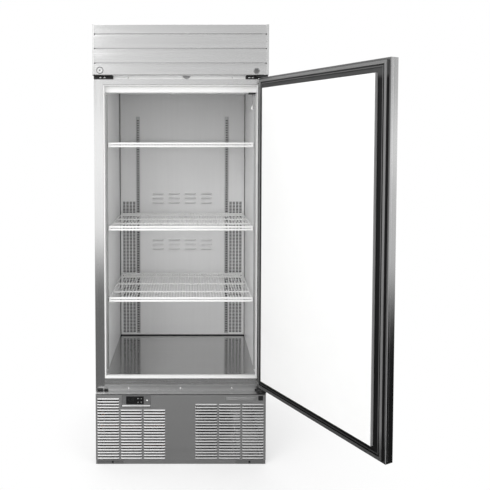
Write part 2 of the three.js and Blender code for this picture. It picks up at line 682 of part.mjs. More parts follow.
function grillePanel() {
  const wall = SHEET;
  const back = FACE - 2;
  const tray = cut(
    block([-GRILLE_HALF, GRILLE_HALF], [FRONT, back], [BASE_RIM + 0.5, LEDGE]),
    block([-GRILLE_HALF + wall, GRILLE_HALF - wall], [FRONT + wall, back + 1], [BASE_RIM - 1, LEDGE - wall]),
  );
  const slots = [];
  for (const { x, rows } of LOUVRE_FIELDS) {
    for (let i = 0; i < rows; i += 1) {
      const z = LOUVRE.low + i * LOUVRE.pitch;
      slots.push(block(x, [FRONT - 1, FRONT + wall + 1], [z, z + LOUVRE.slot]));
    }
  }
  const grown = (range) => [range[0] - 0.5, range[1] + 0.5];
  slots.push(block(grown(WINDOW.x), [FRONT - 1, FRONT + wall + 1], grown(WINDOW.z)));
  return cut(tray, ...slots);
}

function buildBase(root) {
  const rim_front = FRONT + SHEET;
  const rim_back = BACK - 3.5;
  const pan = join(
    cut(
      block([-BASE_HALF, BASE_HALF], [rim_front, rim_back], [0, BASE_RIM]),
      block([-BASE_HALF + 2, BASE_HALF - 2], [rim_front + 2, rim_back - 2], [2, BASE_RIM + 1]),
    ),
    block([BASE_HALF - 1, SIDE], [FACE, rim_back], [BASE_RIM - SHEET, BASE_RIM]),
    block([-SIDE, -BASE_HALF + 1], [FACE, rim_back], [BASE_RIM - SHEET, BASE_RIM]),
  );
  add(root, 'base_pan', 'grey_grille', pan);
  add(root, 'grille_panel', 'grey_grille', grillePanel());

  const inner = SIDE - SHEET - GAP;
  const behind = BACK - SHEET - GAP;
  const { columns, half, rows, low, tall, pitch } = REAR_VENT;
  const vents = [];
  for (const x of columns) {
    for (let i = 0; i < rows; i += 1) {
      const z = low + i * pitch;
      vents.push(block([x - half, x + half], [behind - 3, behind + 1], [z, z + tall]));
    }
  }
  const { at, radius, flange, bore } = INLET;
  const rear = cut(
    block([-inner, inner], [behind - SHEET, behind], [SHELL_BOTTOM, LEDGE]),
    rodY(radius + 2 * GAP, at, [behind - 3, behind + 1], 16),
    ...vents,
  );
  add(root, 'rear_grille', 'galvanised', rear);
  const gland = cut(
    join(
      rodY(radius, at, [behind - 18, behind + 0.5], 16),
      rodY(flange, at, [behind + GAP, BACK - 0.2], 16),
    ),
    rodY(bore, at, [behind - 12, BACK + 1], 12),
  );
  add(root, 'power_inlet', 'black_plastic', gland);
}

function buildController(root) {
  const face = FRONT - BEZEL.proud;
  const bezel = cut(
    block(BEZEL.x, [face, FRONT - GAP], BEZEL.z),
    block(
      [WINDOW.x[0] - GAP, WINDOW.x[1] + GAP],
      [face - 1, FRONT + 1],
      [WINDOW.z[0] - GAP, WINDOW.z[1] + GAP],
    ),
  );
  add(root, 'controller_bezel', 'grey_plastic', bezel);
  const glass = face + 0.6;
  const pockets = [];
  const half_x = KEY.half_x + GAP;
  const half_z = KEY.half_z + GAP;
  for (const [x, z] of Object.values(KEYS)) {
    const pocket_y = [glass - 1, glass + KEY.pocket];
    pockets.push(block([x - half_x, x + half_x], pocket_y, [z - half_z, z + half_z]));
  }
  const display = cut(block(WINDOW.x, [glass, glass + CONTROLLER_DEPTH], WINDOW.z), ...pockets);
  add(root, 'controller_display', 'display', display);
  for (const [name, [x, z]] of Object.entries(KEYS)) {
    const body = new THREE.Group();
    root.add(body);
    const key = block(
      [x - KEY.half_x, x + KEY.half_x],
      [glass - KEY.proud, glass + KEY.pocket - KEY.travel_room],
      [z - KEY.half_z, z + KEY.half_z],
    );
    add(body, `controller_key_${name}`, 'grey_plastic', key);
  }
}

// ---------- condensing unit ----------

const CONDENSER = { x: [-345, -60], y: [-300, -256], z: [26, 290], fins: 16, spine: 8 };
const COND_FAN = { x: -202.5, z: 158, hole: 112, blade: 104, hub: 26, height: 24, ring: 26 };
const COND_MOTOR = { radius: 40, length: 56, behind_ring: 6 };
const ELECTRICAL_BOX = { x: [250, 350], y: [-290, -210], high: 118, wall: 2, bottom: 20 };
const CONDENSATE_PAN = { x: [-330, -60], y: [120, 340], high: 44, wall: 2 };
const PIPE_RADIUS = 4.6;
const COMPRESSOR = { x: 165, y: 40, radius: 78 };

// A box open at its top, from the height low, whose inside starts at the height bottom.
function openBox({ x, y, high, wall }, low, bottom) {
  const inside = ([from, to]) => [from + wall, to - wall];
  return cut(block(x, y, [low, high]), block(inside(x), inside(y), [bottom, high + 1]));
}

function buildMachine(root) {
  const floor = 2 + GAP;
  const legs = [CONDENSER.x[0] + 8, CONDENSER.x[1] - 8].map(
    (at) => block([at - 6, at + 6], CONDENSER.y, [floor, CONDENSER.z[0] + 4]),
  );
  const coil = finBlock(CONDENSER.x, CONDENSER.y, CONDENSER.z, CONDENSER.fins, CONDENSER.spine);
  add(root, 'condenser_coil', 'aluminium', join(coil, ...legs));

  const shroud_y = [CONDENSER.y[1] + 1, CONDENSER.y[1] + 3];
  const centre = [COND_FAN.x, COND_FAN.z];
  const ring_back = shroud_y[1] + COND_FAN.ring;
  const shroud = cut(
    join(
      block(CONDENSER.x, shroud_y, [floor, CONDENSER.z[1]]),
      rodY(COND_FAN.hole + 2, centre, [shroud_y[0], ring_back], 32),
    ),
    rodY(COND_FAN.hole, centre, [shroud_y[0] - 1, ring_back + 1], 32),
  );
  add(root, 'condenser_fan_shroud', 'black_metal', shroud);

  const spin = new THREE.Group();
  spin.position.set(COND_FAN.x, shroud_y[1] + COND_FAN.ring / 2, COND_FAN.z);
  spin.rotation.x = Math.PI / 2;
  root.add(spin);
  const wheel = fanWheel(COND_FAN.blade, COND_FAN.hub, COND_FAN.height, 5);
  add(spin, 'condenser_fan_blade', 'aluminium', wheel);

  const motor_front = ring_back + COND_MOTOR.behind_ring;
  const motor_y = [motor_front, motor_front + COND_MOTOR.length];
  const motor = join(
    rodY(COND_MOTOR.radius, centre, motor_y, 20),
    block([COND_FAN.x - 20, COND_FAN.x + 20], [motor_y[0] + 20, motor_y[0] + 24], [floor, COND_FAN.z]),
    block([COND_FAN.x - 34, COND_FAN.x + 34], [motor_y[0] + 8, motor_y[0] + 36], [floor, floor + 3]),
  );
  add(root, 'condenser_fan_motor', 'black_metal', motor);

  const { x, y, radius } = COMPRESSOR;
  const dome = [[0, 24], [radius * 0.72, 24], [radius, 48], [radius, 112], [radius + 4, 114]];
  dome.push([radius + 4, 120], [radius, 122], [radius * 0.96, 150], [radius * 0.7, 176], [0, 186]);
  const compressor = join(
    turnedZ(dome, [x, y], 24),
    block([x - 95, x + 95], [y - 60, y + 60], [14, 28]),
    ...[[-80, -45], [80, -45], [-80, 45], [80, 45]].map(([a, b]) => rodZ(9, [x + a, y + b], [floor, 20], 12)),
    rodZ(4, [x - 40, y], [150, 204], 10),
    rodZ(4, [x + 40, y], [150, 204], 10),
  );
  add(root, 'compressor', 'black_metal', compressor);

  const discharge = [
    [x - 40, y, 205], [x - 42, y, 236], [x - 90, y - 40, 254],
    [-20, -120, 258], [-48, -240, 262], [-50, -290, 262],
  ];
  add(root, 'discharge_line', 'copper', tube(discharge, PIPE_RADIUS, 24));
  const suction = [
    [x + 40, y, 205], [x + 44, y + 4, 240], [x + 70, y + 60, 262],
    [290, 200, 268], [330, 300, 280], [332, 330, 306],
  ];
  add(root, 'suction_line', 'copper', tube(suction, PIPE_RADIUS, 24));
  add(root, 'electrical_box', 'grey_plastic', openBox(ELECTRICAL_BOX, floor, ELECTRICAL_BOX.bottom));
  const pan_floor = floor + CONDENSATE_PAN.wall;
  add(root, 'condensate_pan', 'black_plastic', openBox(CONDENSATE_PAN, floor, pan_floor));
}

// ---------- assembly ----------

const refrigerator = new THREE.Group();
buildShell(refrigerator);
buildRoom(refrigerator);
buildEvaporator(refrigerator);
buildHeader(refrigerator);
buildHinges(refrigerator);
buildDoor(refrigerator);
buildBase(refrigerator);
buildController(refrigerator);
buildMachine(refrigerator);

export default refrigerator;
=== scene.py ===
import math

import bmesh
import bpy
from mathutils import Matrix, Vector


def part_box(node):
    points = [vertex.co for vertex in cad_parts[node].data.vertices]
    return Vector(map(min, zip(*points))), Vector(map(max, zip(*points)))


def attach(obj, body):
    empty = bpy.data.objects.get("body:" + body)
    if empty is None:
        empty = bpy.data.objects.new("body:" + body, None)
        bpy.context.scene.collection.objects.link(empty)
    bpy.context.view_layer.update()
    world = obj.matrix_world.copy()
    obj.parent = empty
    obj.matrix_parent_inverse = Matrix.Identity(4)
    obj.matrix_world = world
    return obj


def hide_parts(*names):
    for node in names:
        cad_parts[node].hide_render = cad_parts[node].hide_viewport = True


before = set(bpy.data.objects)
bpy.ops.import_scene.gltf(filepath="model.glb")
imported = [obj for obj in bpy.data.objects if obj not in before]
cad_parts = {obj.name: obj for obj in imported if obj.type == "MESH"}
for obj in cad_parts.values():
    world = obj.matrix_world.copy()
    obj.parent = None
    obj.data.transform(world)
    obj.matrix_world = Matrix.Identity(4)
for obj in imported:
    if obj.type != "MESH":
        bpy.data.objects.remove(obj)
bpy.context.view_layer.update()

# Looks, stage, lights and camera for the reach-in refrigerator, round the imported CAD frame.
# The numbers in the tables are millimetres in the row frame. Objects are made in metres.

MM = 0.001
scene = bpy.context.scene

# ---------- places that the CAD settles ----------


def corners(node):
    """Lowest and highest corner of a CAD node, in millimetres."""
    low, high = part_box(node)
    return [c / MM for c in low], [c / MM for c in high]


header_low, header_high = corners("header_panel")
HEADER_BOTTOM, TOP = header_low[2], header_high[2]
HEADER_HALF, HEADER_BACK = header_high[:2]
FRONT = header_low[1]
FACE = corners("face_rail_top")[0][1]
BACK = corners("top_panel")[1][1]
DUCT_FACE, DUCT_TOP = corners("duct_panel")[0][1], corners("duct_panel")[1][2]
grille_low, grille_high = corners("grille_panel")
ROOM_HALF = corners("floor_plate")[1][0]
CEILING = corners("evaporator_cover")[0][2]

# The door's pieces are drawn closed, with X from the pin to its free edge and Y from the pin outwards.
PIN_X, PIN_Y = 365.0, FACE - 27
DOOR_OPEN = math.radians(118)
DOOR_BOTTOM, DOOR_TOP, DOOR_HALF = 336, 1704, 378
FREE, HINGE = -DOOR_HALF - PIN_X, DOOR_HALF - PIN_X
FLANGE = FACE - 12 - PIN_Y
DOOR_TURN = Matrix.Translation((PIN_X * MM, PIN_Y * MM, 0)) @ Matrix.Rotation(DOOR_OPEN, 4, "Z")

# ---------- camera ----------

CAMERA_AT, CAMERA_DIP = (0.0399, -3.0735, 1.4224), 2.599
FOCAL_MM, SENSOR_MM = 45.893, 36
FRAMING = (0.1127, -0.151)

lens = bpy.data.cameras.new("camera")
lens.sensor_width = SENSOR_MM
lens.lens = FOCAL_MM
lens.shift_x, lens.shift_y = FRAMING
lens.clip_end = 100
camera = bpy.data.objects.new("camera", lens)
camera.location = CAMERA_AT
camera.rotation_euler = (math.radians(90 - CAMERA_DIP), 0, 0)
scene.collection.objects.link(camera)
scene.camera = camera

# ---------- materials ----------


def add_node(tree, kind, inputs=(), **settings):
    """A shader node with its settings, and inputs that are either values or links."""
    made = tree.nodes.new(kind)
    for key, value in settings.items():
        setattr(made, key, value)
    for key, value in dict(inputs).items():
        if isinstance(value, bpy.types.NodeSocket):
            tree.links.new(value, made.inputs[key])
        else:
            made.inputs[key].default_value = value
    return made


class Paint:
    """A node material round one Principled shader."""

    def __init__(self, name, rough=0.5, metal=0.0, **sockets):
        self.material = bpy.data.materials.new(name)
        self.material.use_nodes = True
        self.tree = self.material.node_tree
        self.shader = self.tree.nodes["Principled BSDF"]
        self.shader.inputs["Roughness"].default_value = rough
        self.shader.inputs["Metallic"].default_value = metal
        for socket, value in sockets.items():
            self.shader.inputs[socket.replace("_", " ")].default_value = value
        self.coords = self.node("ShaderNodeTexCoord").outputs["Object"]

    def node(self, kind, inputs=(), **settings):
        return add_node(self.tree, kind, inputs, **settings)

    def along(self, axis):
        return self.node("ShaderNodeSeparateXYZ", {"Vector": self.coords}).outputs[axis]

    def noise(self, scale, detail, rough, stretch=(1, 1, 1)):
        vector = self.node("ShaderNodeMapping", {"Vector": self.coords, "Scale": stretch}).outputs["Vector"]
        inputs = {"Vector": vector, "Scale": scale, "Detail": detail, "Roughness": rough}
        return self.node("ShaderNodeTexNoise", inputs).outputs["Fac"]

    def cells(self, scale):
        return self.node("ShaderNodeTexVoronoi", {"Vector": self.coords, "Scale": scale}).outputs

    def spread(self, value, low, high, start=0.3, end=0.7):
        """The value, going from low at the start to high at the end. Noise is mostly in 0.3 to 0.7."""
        inputs = {"Value": value, "From Min": start, "From Max": end, "To Min": low, "To Max": high}
        return self.node("ShaderNodeMapRange", inputs).outputs["Result"]

    def sum(self, first, second):
        return self.node("ShaderNodeMath", {0: first, 1: second}, operation="ADD").outputs[0]

    def blend(self, factor, first, second):
        """A mix of two colours. Sockets 6, 7 and output 2 of the node are its colours."""
        colours = [c if isinstance(c, bpy.types.NodeSocket) else (*c, 1) for c in (first, second)]
        inputs = {0: factor, 6: colours[0], 7: colours[1]}
        return self.node("ShaderNodeMix", data_type="RGBA", inputs=inputs).outputs[2]

    def set(self, socket, value):
        self.tree.links.new(value, self.shader.inputs[socket])

    def bump(self, height, strength, distance):
        inputs = {"Height": height, "Strength": strength, "Distance": distance}
        self.set("Normal", self.node("ShaderNodeBump", inputs).outputs["Normal"])


def tint(level, warm=0.0):
    """A near-neutral linear colour."""
    return (level * (1 + warm), level, level * (1 - warm))


GRAIN = {"x": (1.1, 70, 70), "z": (70, 70, 1.1)}


def brushed(name, level, rough, along, anisotropy=0.45, contrast=0.05, metal=1.0):
    """Sheet metal with a linear grain along one axis, and the unevenness of a handled sheet."""
    paint = Paint(name, metal=metal, Anisotropic=anisotropy)
    if along == "x":
        paint.shader.inputs["Anisotropic Rotation"].default_value = 0.25
    tangent = paint.node("ShaderNodeTangent", direction_type="RADIAL", axis="Z")
    paint.set("Tangent", tangent.outputs["Tangent"])
    grain = paint.noise(1, 9, 0.7, GRAIN[along])
    marks = paint.noise(3.2, 3, 0.5, (1, 1, 0.6))
    low, high = tint(level * (1 - contrast)), tint(level * (1 + contrast))
    streaks = paint.blend(paint.spread(grain, 0, 1), low, high)
    paint.set("Base Color", paint.blend(paint.spread(marks, 0, 0.12), streaks, tint(level * 0.8)))
    roughness = paint.sum(paint.spread(grain, rough - 0.05, rough + 0.05), paint.spread(marks, 0, 0.05))
    paint.set("Roughness", roughness)
    paint.bump(grain, 0.05, 0.0004)
    return paint.material


def moulded(name, color, rough, grain=900.0, depth=0.12, uneven=0.06, above=None, **sockets):
    """Moulded plastic, rubber or paint with a fine skin.

    above is (colour, from, to): it turns to another colour between two heights, in metres. It paints light
    and shade: lighter above and darker below, as the light falls.
    """
    paint = Paint(name, **sockets)
    skin = paint.noise(grain, 3, 0.6)
    cast = paint.noise(9, 4, 0.6)
    dark = tuple(c * (1 - uneven) for c in color)
    base = paint.blend(paint.spread(cast, 0, 1), dark, color)
    # Painted light and shade: the colour turns to the other tone above the given heights.
    if above:
        other, start, end = above
        base = paint.blend(paint.spread(paint.along("Z"), 0, 1, start, end), base, other)
    paint.set("Base Color", base)
    paint.set("Roughness", paint.spread(cast, rough - 0.05, rough + 0.06))
    paint.bump(skin, depth, 0.0003)
    return paint.material


def galvanised(name, level, rough):
    """Zinc coated steel with its spangle."""
    paint = Paint(name, metal=0.85)
    spangle = paint.cells(55)["Color"]
    grey = paint.node("ShaderNodeRGBToBW", {"Color": spangle}).outputs["Val"]
    cloud = paint.noise(6, 5, 0.6)
    base = paint.blend(paint.spread(grey, 0, 1, 0.1, 0.9), tint(level * 0.86, -0.01), tint(level, -0.01))
    paint.set("Base Color", paint.blend(paint.spread(cloud, 0, 0.3), base, tint(level * 0.75)))
    paint.set("Roughness", paint.spread(grey, rough - 0.08, rough + 0.08, 0, 1))
    paint.bump(grey, 0.03, 0.0003)
    return paint.material


def lining(name, level, rough, metal, fade=None, relief=0.1):
    """A satin sheet with a soft grain and a faint rolled texture.

    fade is (axis, share, from, to): painted shade, the tone drops by the share between two places on the
    axis, in metres.
    """
    paint = Paint(name, metal=metal)
    grain = paint.noise(1, 7, 0.65, (60, 60, 2.5))
    pebble = paint.noise(420, 2, 0.5)
    cloud = paint.noise(1.6, 2, 0.5)
    base = paint.blend(paint.spread(grain, 0, 1), tint(level * 0.985), tint(level * 1.012))
    base = paint.blend(paint.spread(cloud, 0, 0.1), base, tint(level * 0.88))
    # Painted shade: the colour darkens along the axis.
    if fade:
        axis, share, start, end = fade
        base = paint.blend(paint.spread(paint.along(axis), 0, share, start, end), base, (0, 0, 0))
    paint.set("Base Color", base)
    paint.set("Roughness", paint.spread(pebble, rough - 0.06, rough + 0.06))
    paint.bump(pebble, relief, 0.0003)
    return paint.material


def finned(name, level, pitch):
    """Coil metal: aluminium fins seen edge on, with a little dust."""
    paint = Paint(name, rough=0.45, metal=0.8)
    inputs = {"Vector": paint.coords, "Scale": 1 / (pitch * 6.283), "Distortion": 0.4}
    wave = paint.node("ShaderNodeTexWave", inputs, bands_direction="X").outputs["Fac"]
    dust = paint.noise(18, 5, 0.6)
    base = paint.blend(paint.spread(wave, 0, 1, 0, 1), tint(level * 0.55), tint(level))
    paint.set("Base Color", paint.blend(paint.spread(dust, 0, 0.35), base, (0.19, 0.18, 0.165)))
    paint.bump(wave, 0.3, 0.0004)
    return paint.material


def scratched(name, color, rough, metal=1.0):
    """Bright turned or polished metal with hairline scratches."""
    paint = Paint(name, metal=metal)
    lines = paint.noise(1, 6, 0.7, (260, 90, 260))
    cloud = paint.noise(40, 3, 0.5)
    dark = tuple(c * 0.86 for c in color)
    paint.set("Base Color", paint.blend(paint.spread(lines, 0, 1), dark, color))
    paint.set("Roughness", paint.spread(cloud, rough - 0.04, rough + 0.08))
    paint.bump(lines, 0.04, 0.0002)
    return paint.material


def foamed(name):
    """Insulation: a fine open grain in two yellows."""
    paint = Paint(name, rough=0.95)
    bubble = paint.cells(700)["Distance"]
    cloud = paint.noise(14, 4, 0.6)
    paint.set("Base Color", paint.blend(paint.spread(cloud, 0, 1), (0.72, 0.61, 0.33), (0.82, 0.73, 0.46)))
    paint.bump(bubble, 0.5, 0.001)
    return paint.material


steel_upright = brushed("steel_upright", 0.68, 0.16, "z")
steel_level = brushed("steel_level", 0.66, 0.22, "x", contrast=0.035)
steel_ledge = brushed("steel_ledge", 0.53, 0.26, "x", contrast=0.03)
steel_grille = brushed("steel_grille", 0.355, 0.36, "x", contrast=0.015, metal=0.72)
steel_standard = brushed("steel_standard", 0.47, 0.36, "z", anisotropy=0.2, metal=0.8)
steel_plain = brushed("steel_plain", 0.74, 0.3, "z", anisotropy=0.2)
steel_floor = brushed("steel_floor", 0.5, 0.085, "x", anisotropy=0.2, contrast=0.04)
zinc = galvanised("zinc", 0.5, 0.42)
# Painted shade: the louvres turn darker towards +X, on the right-hand grille fields.
steel_louvre = lining("steel_louvre", 0.74, 0.5, 0.15, fade=("X", 0.25, -0.07, 0.07), relief=0.01)
# Painted shade: the room's lining turns darker towards the ceiling, between 0.9 and 1.75 m.
room_metal = lining("room_metal", 0.86, 0.45, 0.25, fade=("Z", 0.15, 0.9, 1.75))
wall_metal = lining("wall_metal", 0.93, 0.45, 0.22)
coil_metal = finned("coil_metal", 0.7, 0.004)
white_liner = moulded("white_liner", (0.93, 0.93, 0.925), 0.42, 700, 0.08, 0.012)
white_trim = moulded("white_trim", (0.88, 0.88, 0.875), 0.38, 1200, 0.08, 0.03)
wire_coat = moulded("wire_coat", (0.94, 0.94, 0.935), 0.34, 500, 0.15, 0.02)
black_skin = moulded("black_skin", (0.012, 0.012, 0.013), 0.42, 1500, 0.2, 0.35)
black_coat = moulded("black_coat", (0.016, 0.016, 0.017), 0.46, 650, 0.25, 0.3)
# Painted light: rubber turns lighter above 1.636 m, along the gasket's top run.
rubber = moulded("rubber", (0.006, 0.006, 0.0063), 0.6, 1300, 0.15, 0.4, (tint(0.055), 1.636, 1.65),
                 Specular_IOR_Level=0.25)
# Painted shade: rubber_face and rubber_edge turn darker below 0.45 m, along the door's bottom run.
rubber_face = moulded("rubber_face", tint(0.05), 0.36, 1300, 0.1, 0.1, (tint(0.15), 0.375, 0.45),
                      Specular_IOR_Level=0.9)
rubber_edge = moulded("rubber_edge", tint(0.035), 0.5, 1300, 0.15, 0.2, (tint(0.1), 0.375, 0.45))
grey_skin = moulded("grey_skin", (0.3, 0.3, 0.303), 0.45, 1100, 0.15, 0.1)
dark_skin = moulded("dark_skin", (0.13, 0.13, 0.132), 0.5, 1100, 0.15, 0.15)
lcd_ink = moulded("lcd_ink", (0.03, 0.031, 0.03), 0.4, 900, 0.05, 0.2)
# Painted shade: a mid grey for the liner's shaded side wall and the dark line on the pan's outer corner.
painted_shade_grey = moulded("painted_shade_grey", (0.27, 0.27, 0.272), 0.5, 900, 0.1, 0.08)
window = moulded("window", (0.005, 0.005, 0.0055), 0.14, 200, 0.01, 0.3, Coat_Weight=0.6)
icon = moulded("icon", (0.62, 0.63, 0.62), 0.5, 1500, 0.05, 0.05)
led = moulded("led", (0.85, 0.86, 0.84), 0.25, 800, 0.02, 0.05)
lens_white = moulded("lens_white", (0.86, 0.87, 0.87), 0.25, 260, 0.05, 0.03)
chrome = scratched("chrome", (0.8, 0.8, 0.8), 0.16)
copper = scratched("copper", (0.72, 0.36, 0.2), 0.3)
foam = foamed("foam")

# ---------- mesh helpers ----------


class Form:
    """Faces gathered in millimetres, which become one object."""

    def __init__(self):
        self.points = []
        self.faces = []

    def add(self, points, faces):
        base = len(self.points)
        self.points += [tuple(p) for p in points]
        self.faces += [tuple(base + i for i in face) for face in faces]
        return self

    def box(self, x, y, z):
        points = [(a, b, c) for a in x for b in y for c in z]
        faces = [(0, 1, 3, 2), (4, 6, 7, 5), (0, 4, 5, 1), (2, 3, 7, 6), (0, 2, 6, 4), (1, 5, 7, 3)]
        return self.add(points, faces)

    def prism(self, outline, axis, low, high):
        """An outline in the other two axes, in their order, pushed along the axis."""
        count = len(outline)
        points = [placed(axis, a, b, c) for c in (low, high) for a, b in outline]
        sides = [(i, (i + 1) % count, count + (i + 1) % count, count + i) for i in range(count)]
        return self.add(points, [*sides, range(count), range(count, 2 * count)])

    def lathe(self, profile, at, axis, sides=24):
        """A profile of (radius, place along the axis) turned about the axis through at."""
        points, rings = [], []
        for radius, along in profile:
            count = sides if radius else 1
            rings.append([len(points) + i for i in range(count)])
            for i in range(count):
                turn = 2 * math.pi * i / sides
                a, b = at[0] + radius * math.cos(turn), at[1] + radius * math.sin(turn)
                points.append(placed(axis, a, b, along))
        faces = []
        for first, second in zip(rings, rings[1:]):
            for i in range(sides):
                j = (i + 1) % sides
                quad = [first[i % len(first)], first[j % len(first)]]
                quad += [second[j % len(second)], second[i % len(second)]]
                face = list(dict.fromkeys(quad))
                if len(face) > 2:
                    faces.append(face)
        return self.add(points, faces)

    def tube(self, path, radius, sides=8, closed=False):
        """A round bar along the path, with flat ends or closed into a loop."""
        path = [Vector(p) for p in path]
        count = len(path)
        points = []
        normal = last = None
        for i, at in enumerate(path):
            before = path[i - 1] if i or closed else at
            after = path[(i + 1) % count] if i < count - 1 or closed else at
            tangent = (after - before).normalized()
            if last is None:
                normal = tangent.orthogonal().normalized()
            else:
                normal = last.rotation_difference(tangent) @ normal
            last = tangent
            side = tangent.cross(normal)
            for k in range(sides):
                turn = 2 * math.pi * k / sides
                points.append(at + radius * (math.cos(turn) * normal + math.sin(turn) * side))
        faces = []
        for i in range(count if closed else count - 1):
            a, b = i * sides, (i + 1) % count * sides
            for k in range(sides):
                n = (k + 1) % sides
                faces.append((a + k, a + n, b + n, b + k))
        if not closed:
            faces += [range(sides), range((count - 1) * sides, count * sides)]
        return self.add(points, faces)

    def sheet(self, path, levels, keep, thick):
        """A folded sheet that stands along Z: path of (x, y), heights, and which cells are metal."""
        inner = offset(path, thick)
        count, rows = len(path), len(levels)
        points = [(x, y, z) for line in (path, inner) for x, y in line for z in levels]

        def at(layer, i, j):
            return (layer * count + i) * rows + j

        cell = {(i, j) for i in range(count - 1) for j in range(rows - 1) if keep(i, j)}
        faces = []
        for i, j in sorted(cell):
            around = ((i, j), (i + 1, j), (i + 1, j + 1), (i, j + 1))
            faces += [[at(layer, *place) for place in around] for layer in (0, 1)]
            edges = (
                ((i - 1, j), (i, j), (i, j + 1)), ((i + 1, j), (i + 1, j), (i + 1, j + 1)),
                ((i, j - 1), (i, j), (i + 1, j)), ((i, j + 1), (i, j + 1), (i + 1, j + 1)),
            )
            for beside, a, b in edges:
                if beside not in cell:
                    faces.append([at(0, *a), at(0, *b), at(1, *b), at(1, *a)])
        return self.add(points, faces)

    def door_ring(self, profile):
        """A closed profile of (inset from the edge, height over the flange) carried round the door."""
        around = [(FREE, DOOR_BOTTOM, 1, 1), (HINGE, DOOR_BOTTOM, -1, 1)]
        around += [(HINGE, DOOR_TOP, -1, -1), (FREE, DOOR_TOP, 1, -1)]
        points = [(u + su * a, FLANGE + b, z + sz * a) for u, z, su, sz in around for a, b in profile]
        count = len(profile)
        faces = []
        for k in range(4):
            for i in range(count):
                n = (i + 1) % count
                after = (k + 1) % 4 * count
                faces.append((k * count + i, k * count + n, after + n, after + i))
        return self.add(points, faces)

    def louvre(self, x, z, y, out):
        """A pressed hood with a flat slanted face: closed at its top and ends, open along its foot."""
        across = ((0, 0), (0.02, 0.55), (0.05, 0.92), (0.09, 1))
        across = (*across, *((1 - u, lift) for u, lift in across[::-1]))
        down = ((0, 0), (0.12, 0.3), (0.88, 0.96), (1, 1))
        points = [
            (x[0] + u * (x[1] - x[0]), y - out * lift * rise, z[1] + v * (z[0] - z[1]))
            for v, rise in down for u, lift in across
        ]
        wide = len(across)
        faces = [
            (a, a + 1, a + wide + 1, a + wide)
            for j in range(len(down) - 1) for a in range(j * wide, (j + 1) * wide - 1)
        ]
        return self.add(points, faces)

    def screw(self, at, axis, base, out, radius=4.4):
        """A pan head with a socket, standing out along the axis by out."""
        profile = [
            (radius, base), (radius, base + out * 0.35), (radius * 0.86, base + out * 0.8),
            (radius * 0.5, base + out), (radius * 0.42, base + out * 0.45), (0, base + out * 0.3),
        ]
        return self.lathe(profile, at, axis, 16)


def placed(axis, a, b, c):
    """(a, b) are the other two coordinates in their order, and c lies along the axis."""
    return {"x": (c, a, b), "y": (a, c, b), "z": (a, b, c)}[axis]


def offset(path, distance):
    """The path moved to its left by the distance, with mitred corners."""
    moved = []
    for i, point in enumerate(path):
        here = Vector(point)
        normals = []
        for a, b in ((i - 1, i), (i, i + 1)):
            if 0 <= a and b < len(path):
                step = (Vector(path[b]) - Vector(path[a])).normalized()
                normals.append(Vector((-step.y, step.x)))
        mean = sum(normals, Vector((0, 0))).normalized()
        moved.append(tuple(here + mean * distance / max(mean.dot(normals[0]), 0.3)))
    return moved


def arc(centre, radius, start, end, steps):
    """Points on a circle, in degrees."""
    turns = [math.radians(start + (end - start) * i / steps) for i in range(steps + 1)]
    return [(centre[0] + radius * math.cos(t), centre[1] + radius * math.sin(t)) for t in turns]


def rounded(a, b, radius, steps=4):
    """A rectangle between a and b with round corners, as an outline."""
    (x0, x1), (z0, z1) = a, b
    points = []
    for x, z, start in ((x1, z0, 270), (x1, z1, 0), (x0, z1, 90), (x0, z0, 180)):
        inner = (x - math.copysign(radius, x - (x0 + x1) / 2), z - math.copysign(radius, z - (z0 + z1) / 2))
        points += arc(inner, radius, start, start + 90, steps)
    return points


def eased(path, radius, steps=4):
    """A path whose corners are rounded."""
    path = [Vector(p) for p in path]
    out = [path[0]]
    for before, here, after in zip(path, path[1:], path[2:]):
        back, ahead = (before - here), (after - here)
        reach = min(radius, back.length / 2, ahead.length / 2)
        a, b = here + back.normalized() * reach, here + ahead.normalized() * reach
        for k in range(steps + 1):
            t = k / steps
            out.append(a * (1 - t) ** 2 + here * 2 * t * (1 - t) + b * t * t)
    return [*out, path[-1]]


def span(low, high, step):
    """Places from low up to high, a step apart."""
    count = int((high - low) / step)
    return [low + i * step for i in range(count + 1)]


def soften(made, width, angle):
    """A narrow round on the edges sharper than the angle."""
    edge = made.modifiers.new("edges", "BEVEL")
    edge.width = width * MM
    edge.segments = 2
    edge.limit_method = "ANGLE"
    edge.angle_limit = math.radians(angle)
    return edge


def piece(name, form, body, material, stands_for=(), bevel=0.0, turn=None, thick=0.0, smooth=38):
    """A form made into an object that rides its body and may stand for CAD nodes."""
    mesh = bpy.data.meshes.new(name)
    mesh.from_pydata([[c * MM for c in p] for p in form.points], [], [list(f) for f in form.faces])
    shape = bmesh.new()
    shape.from_mesh(mesh)
    loose = [v for v in shape.verts if not v.link_faces]
    bmesh.ops.delete(shape, geom=loose, context="VERTS")
    bmesh.ops.recalc_face_normals(shape, faces=shape.faces)
    if turn:
        shape.transform(turn)
    shape.to_mesh(mesh)
    shape.free()
    mesh.shade_smooth()
    mesh.set_sharp_from_angle(angle=math.radians(smooth))
    mesh.materials.append(material)
    made = bpy.data.objects.new(name, mesh)
    scene.collection.objects.link(made)
    if thick:
        solid = made.modifiers.new("thickness", "SOLIDIFY")
        solid.thickness = thick * MM
        solid.offset = 0
    if bevel:
        soften(made, bevel, 38)
    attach(made, body)
    if stands_for:
        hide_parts(*stands_for)


# ---------- finishes of the CAD nodes that show as they are ----------

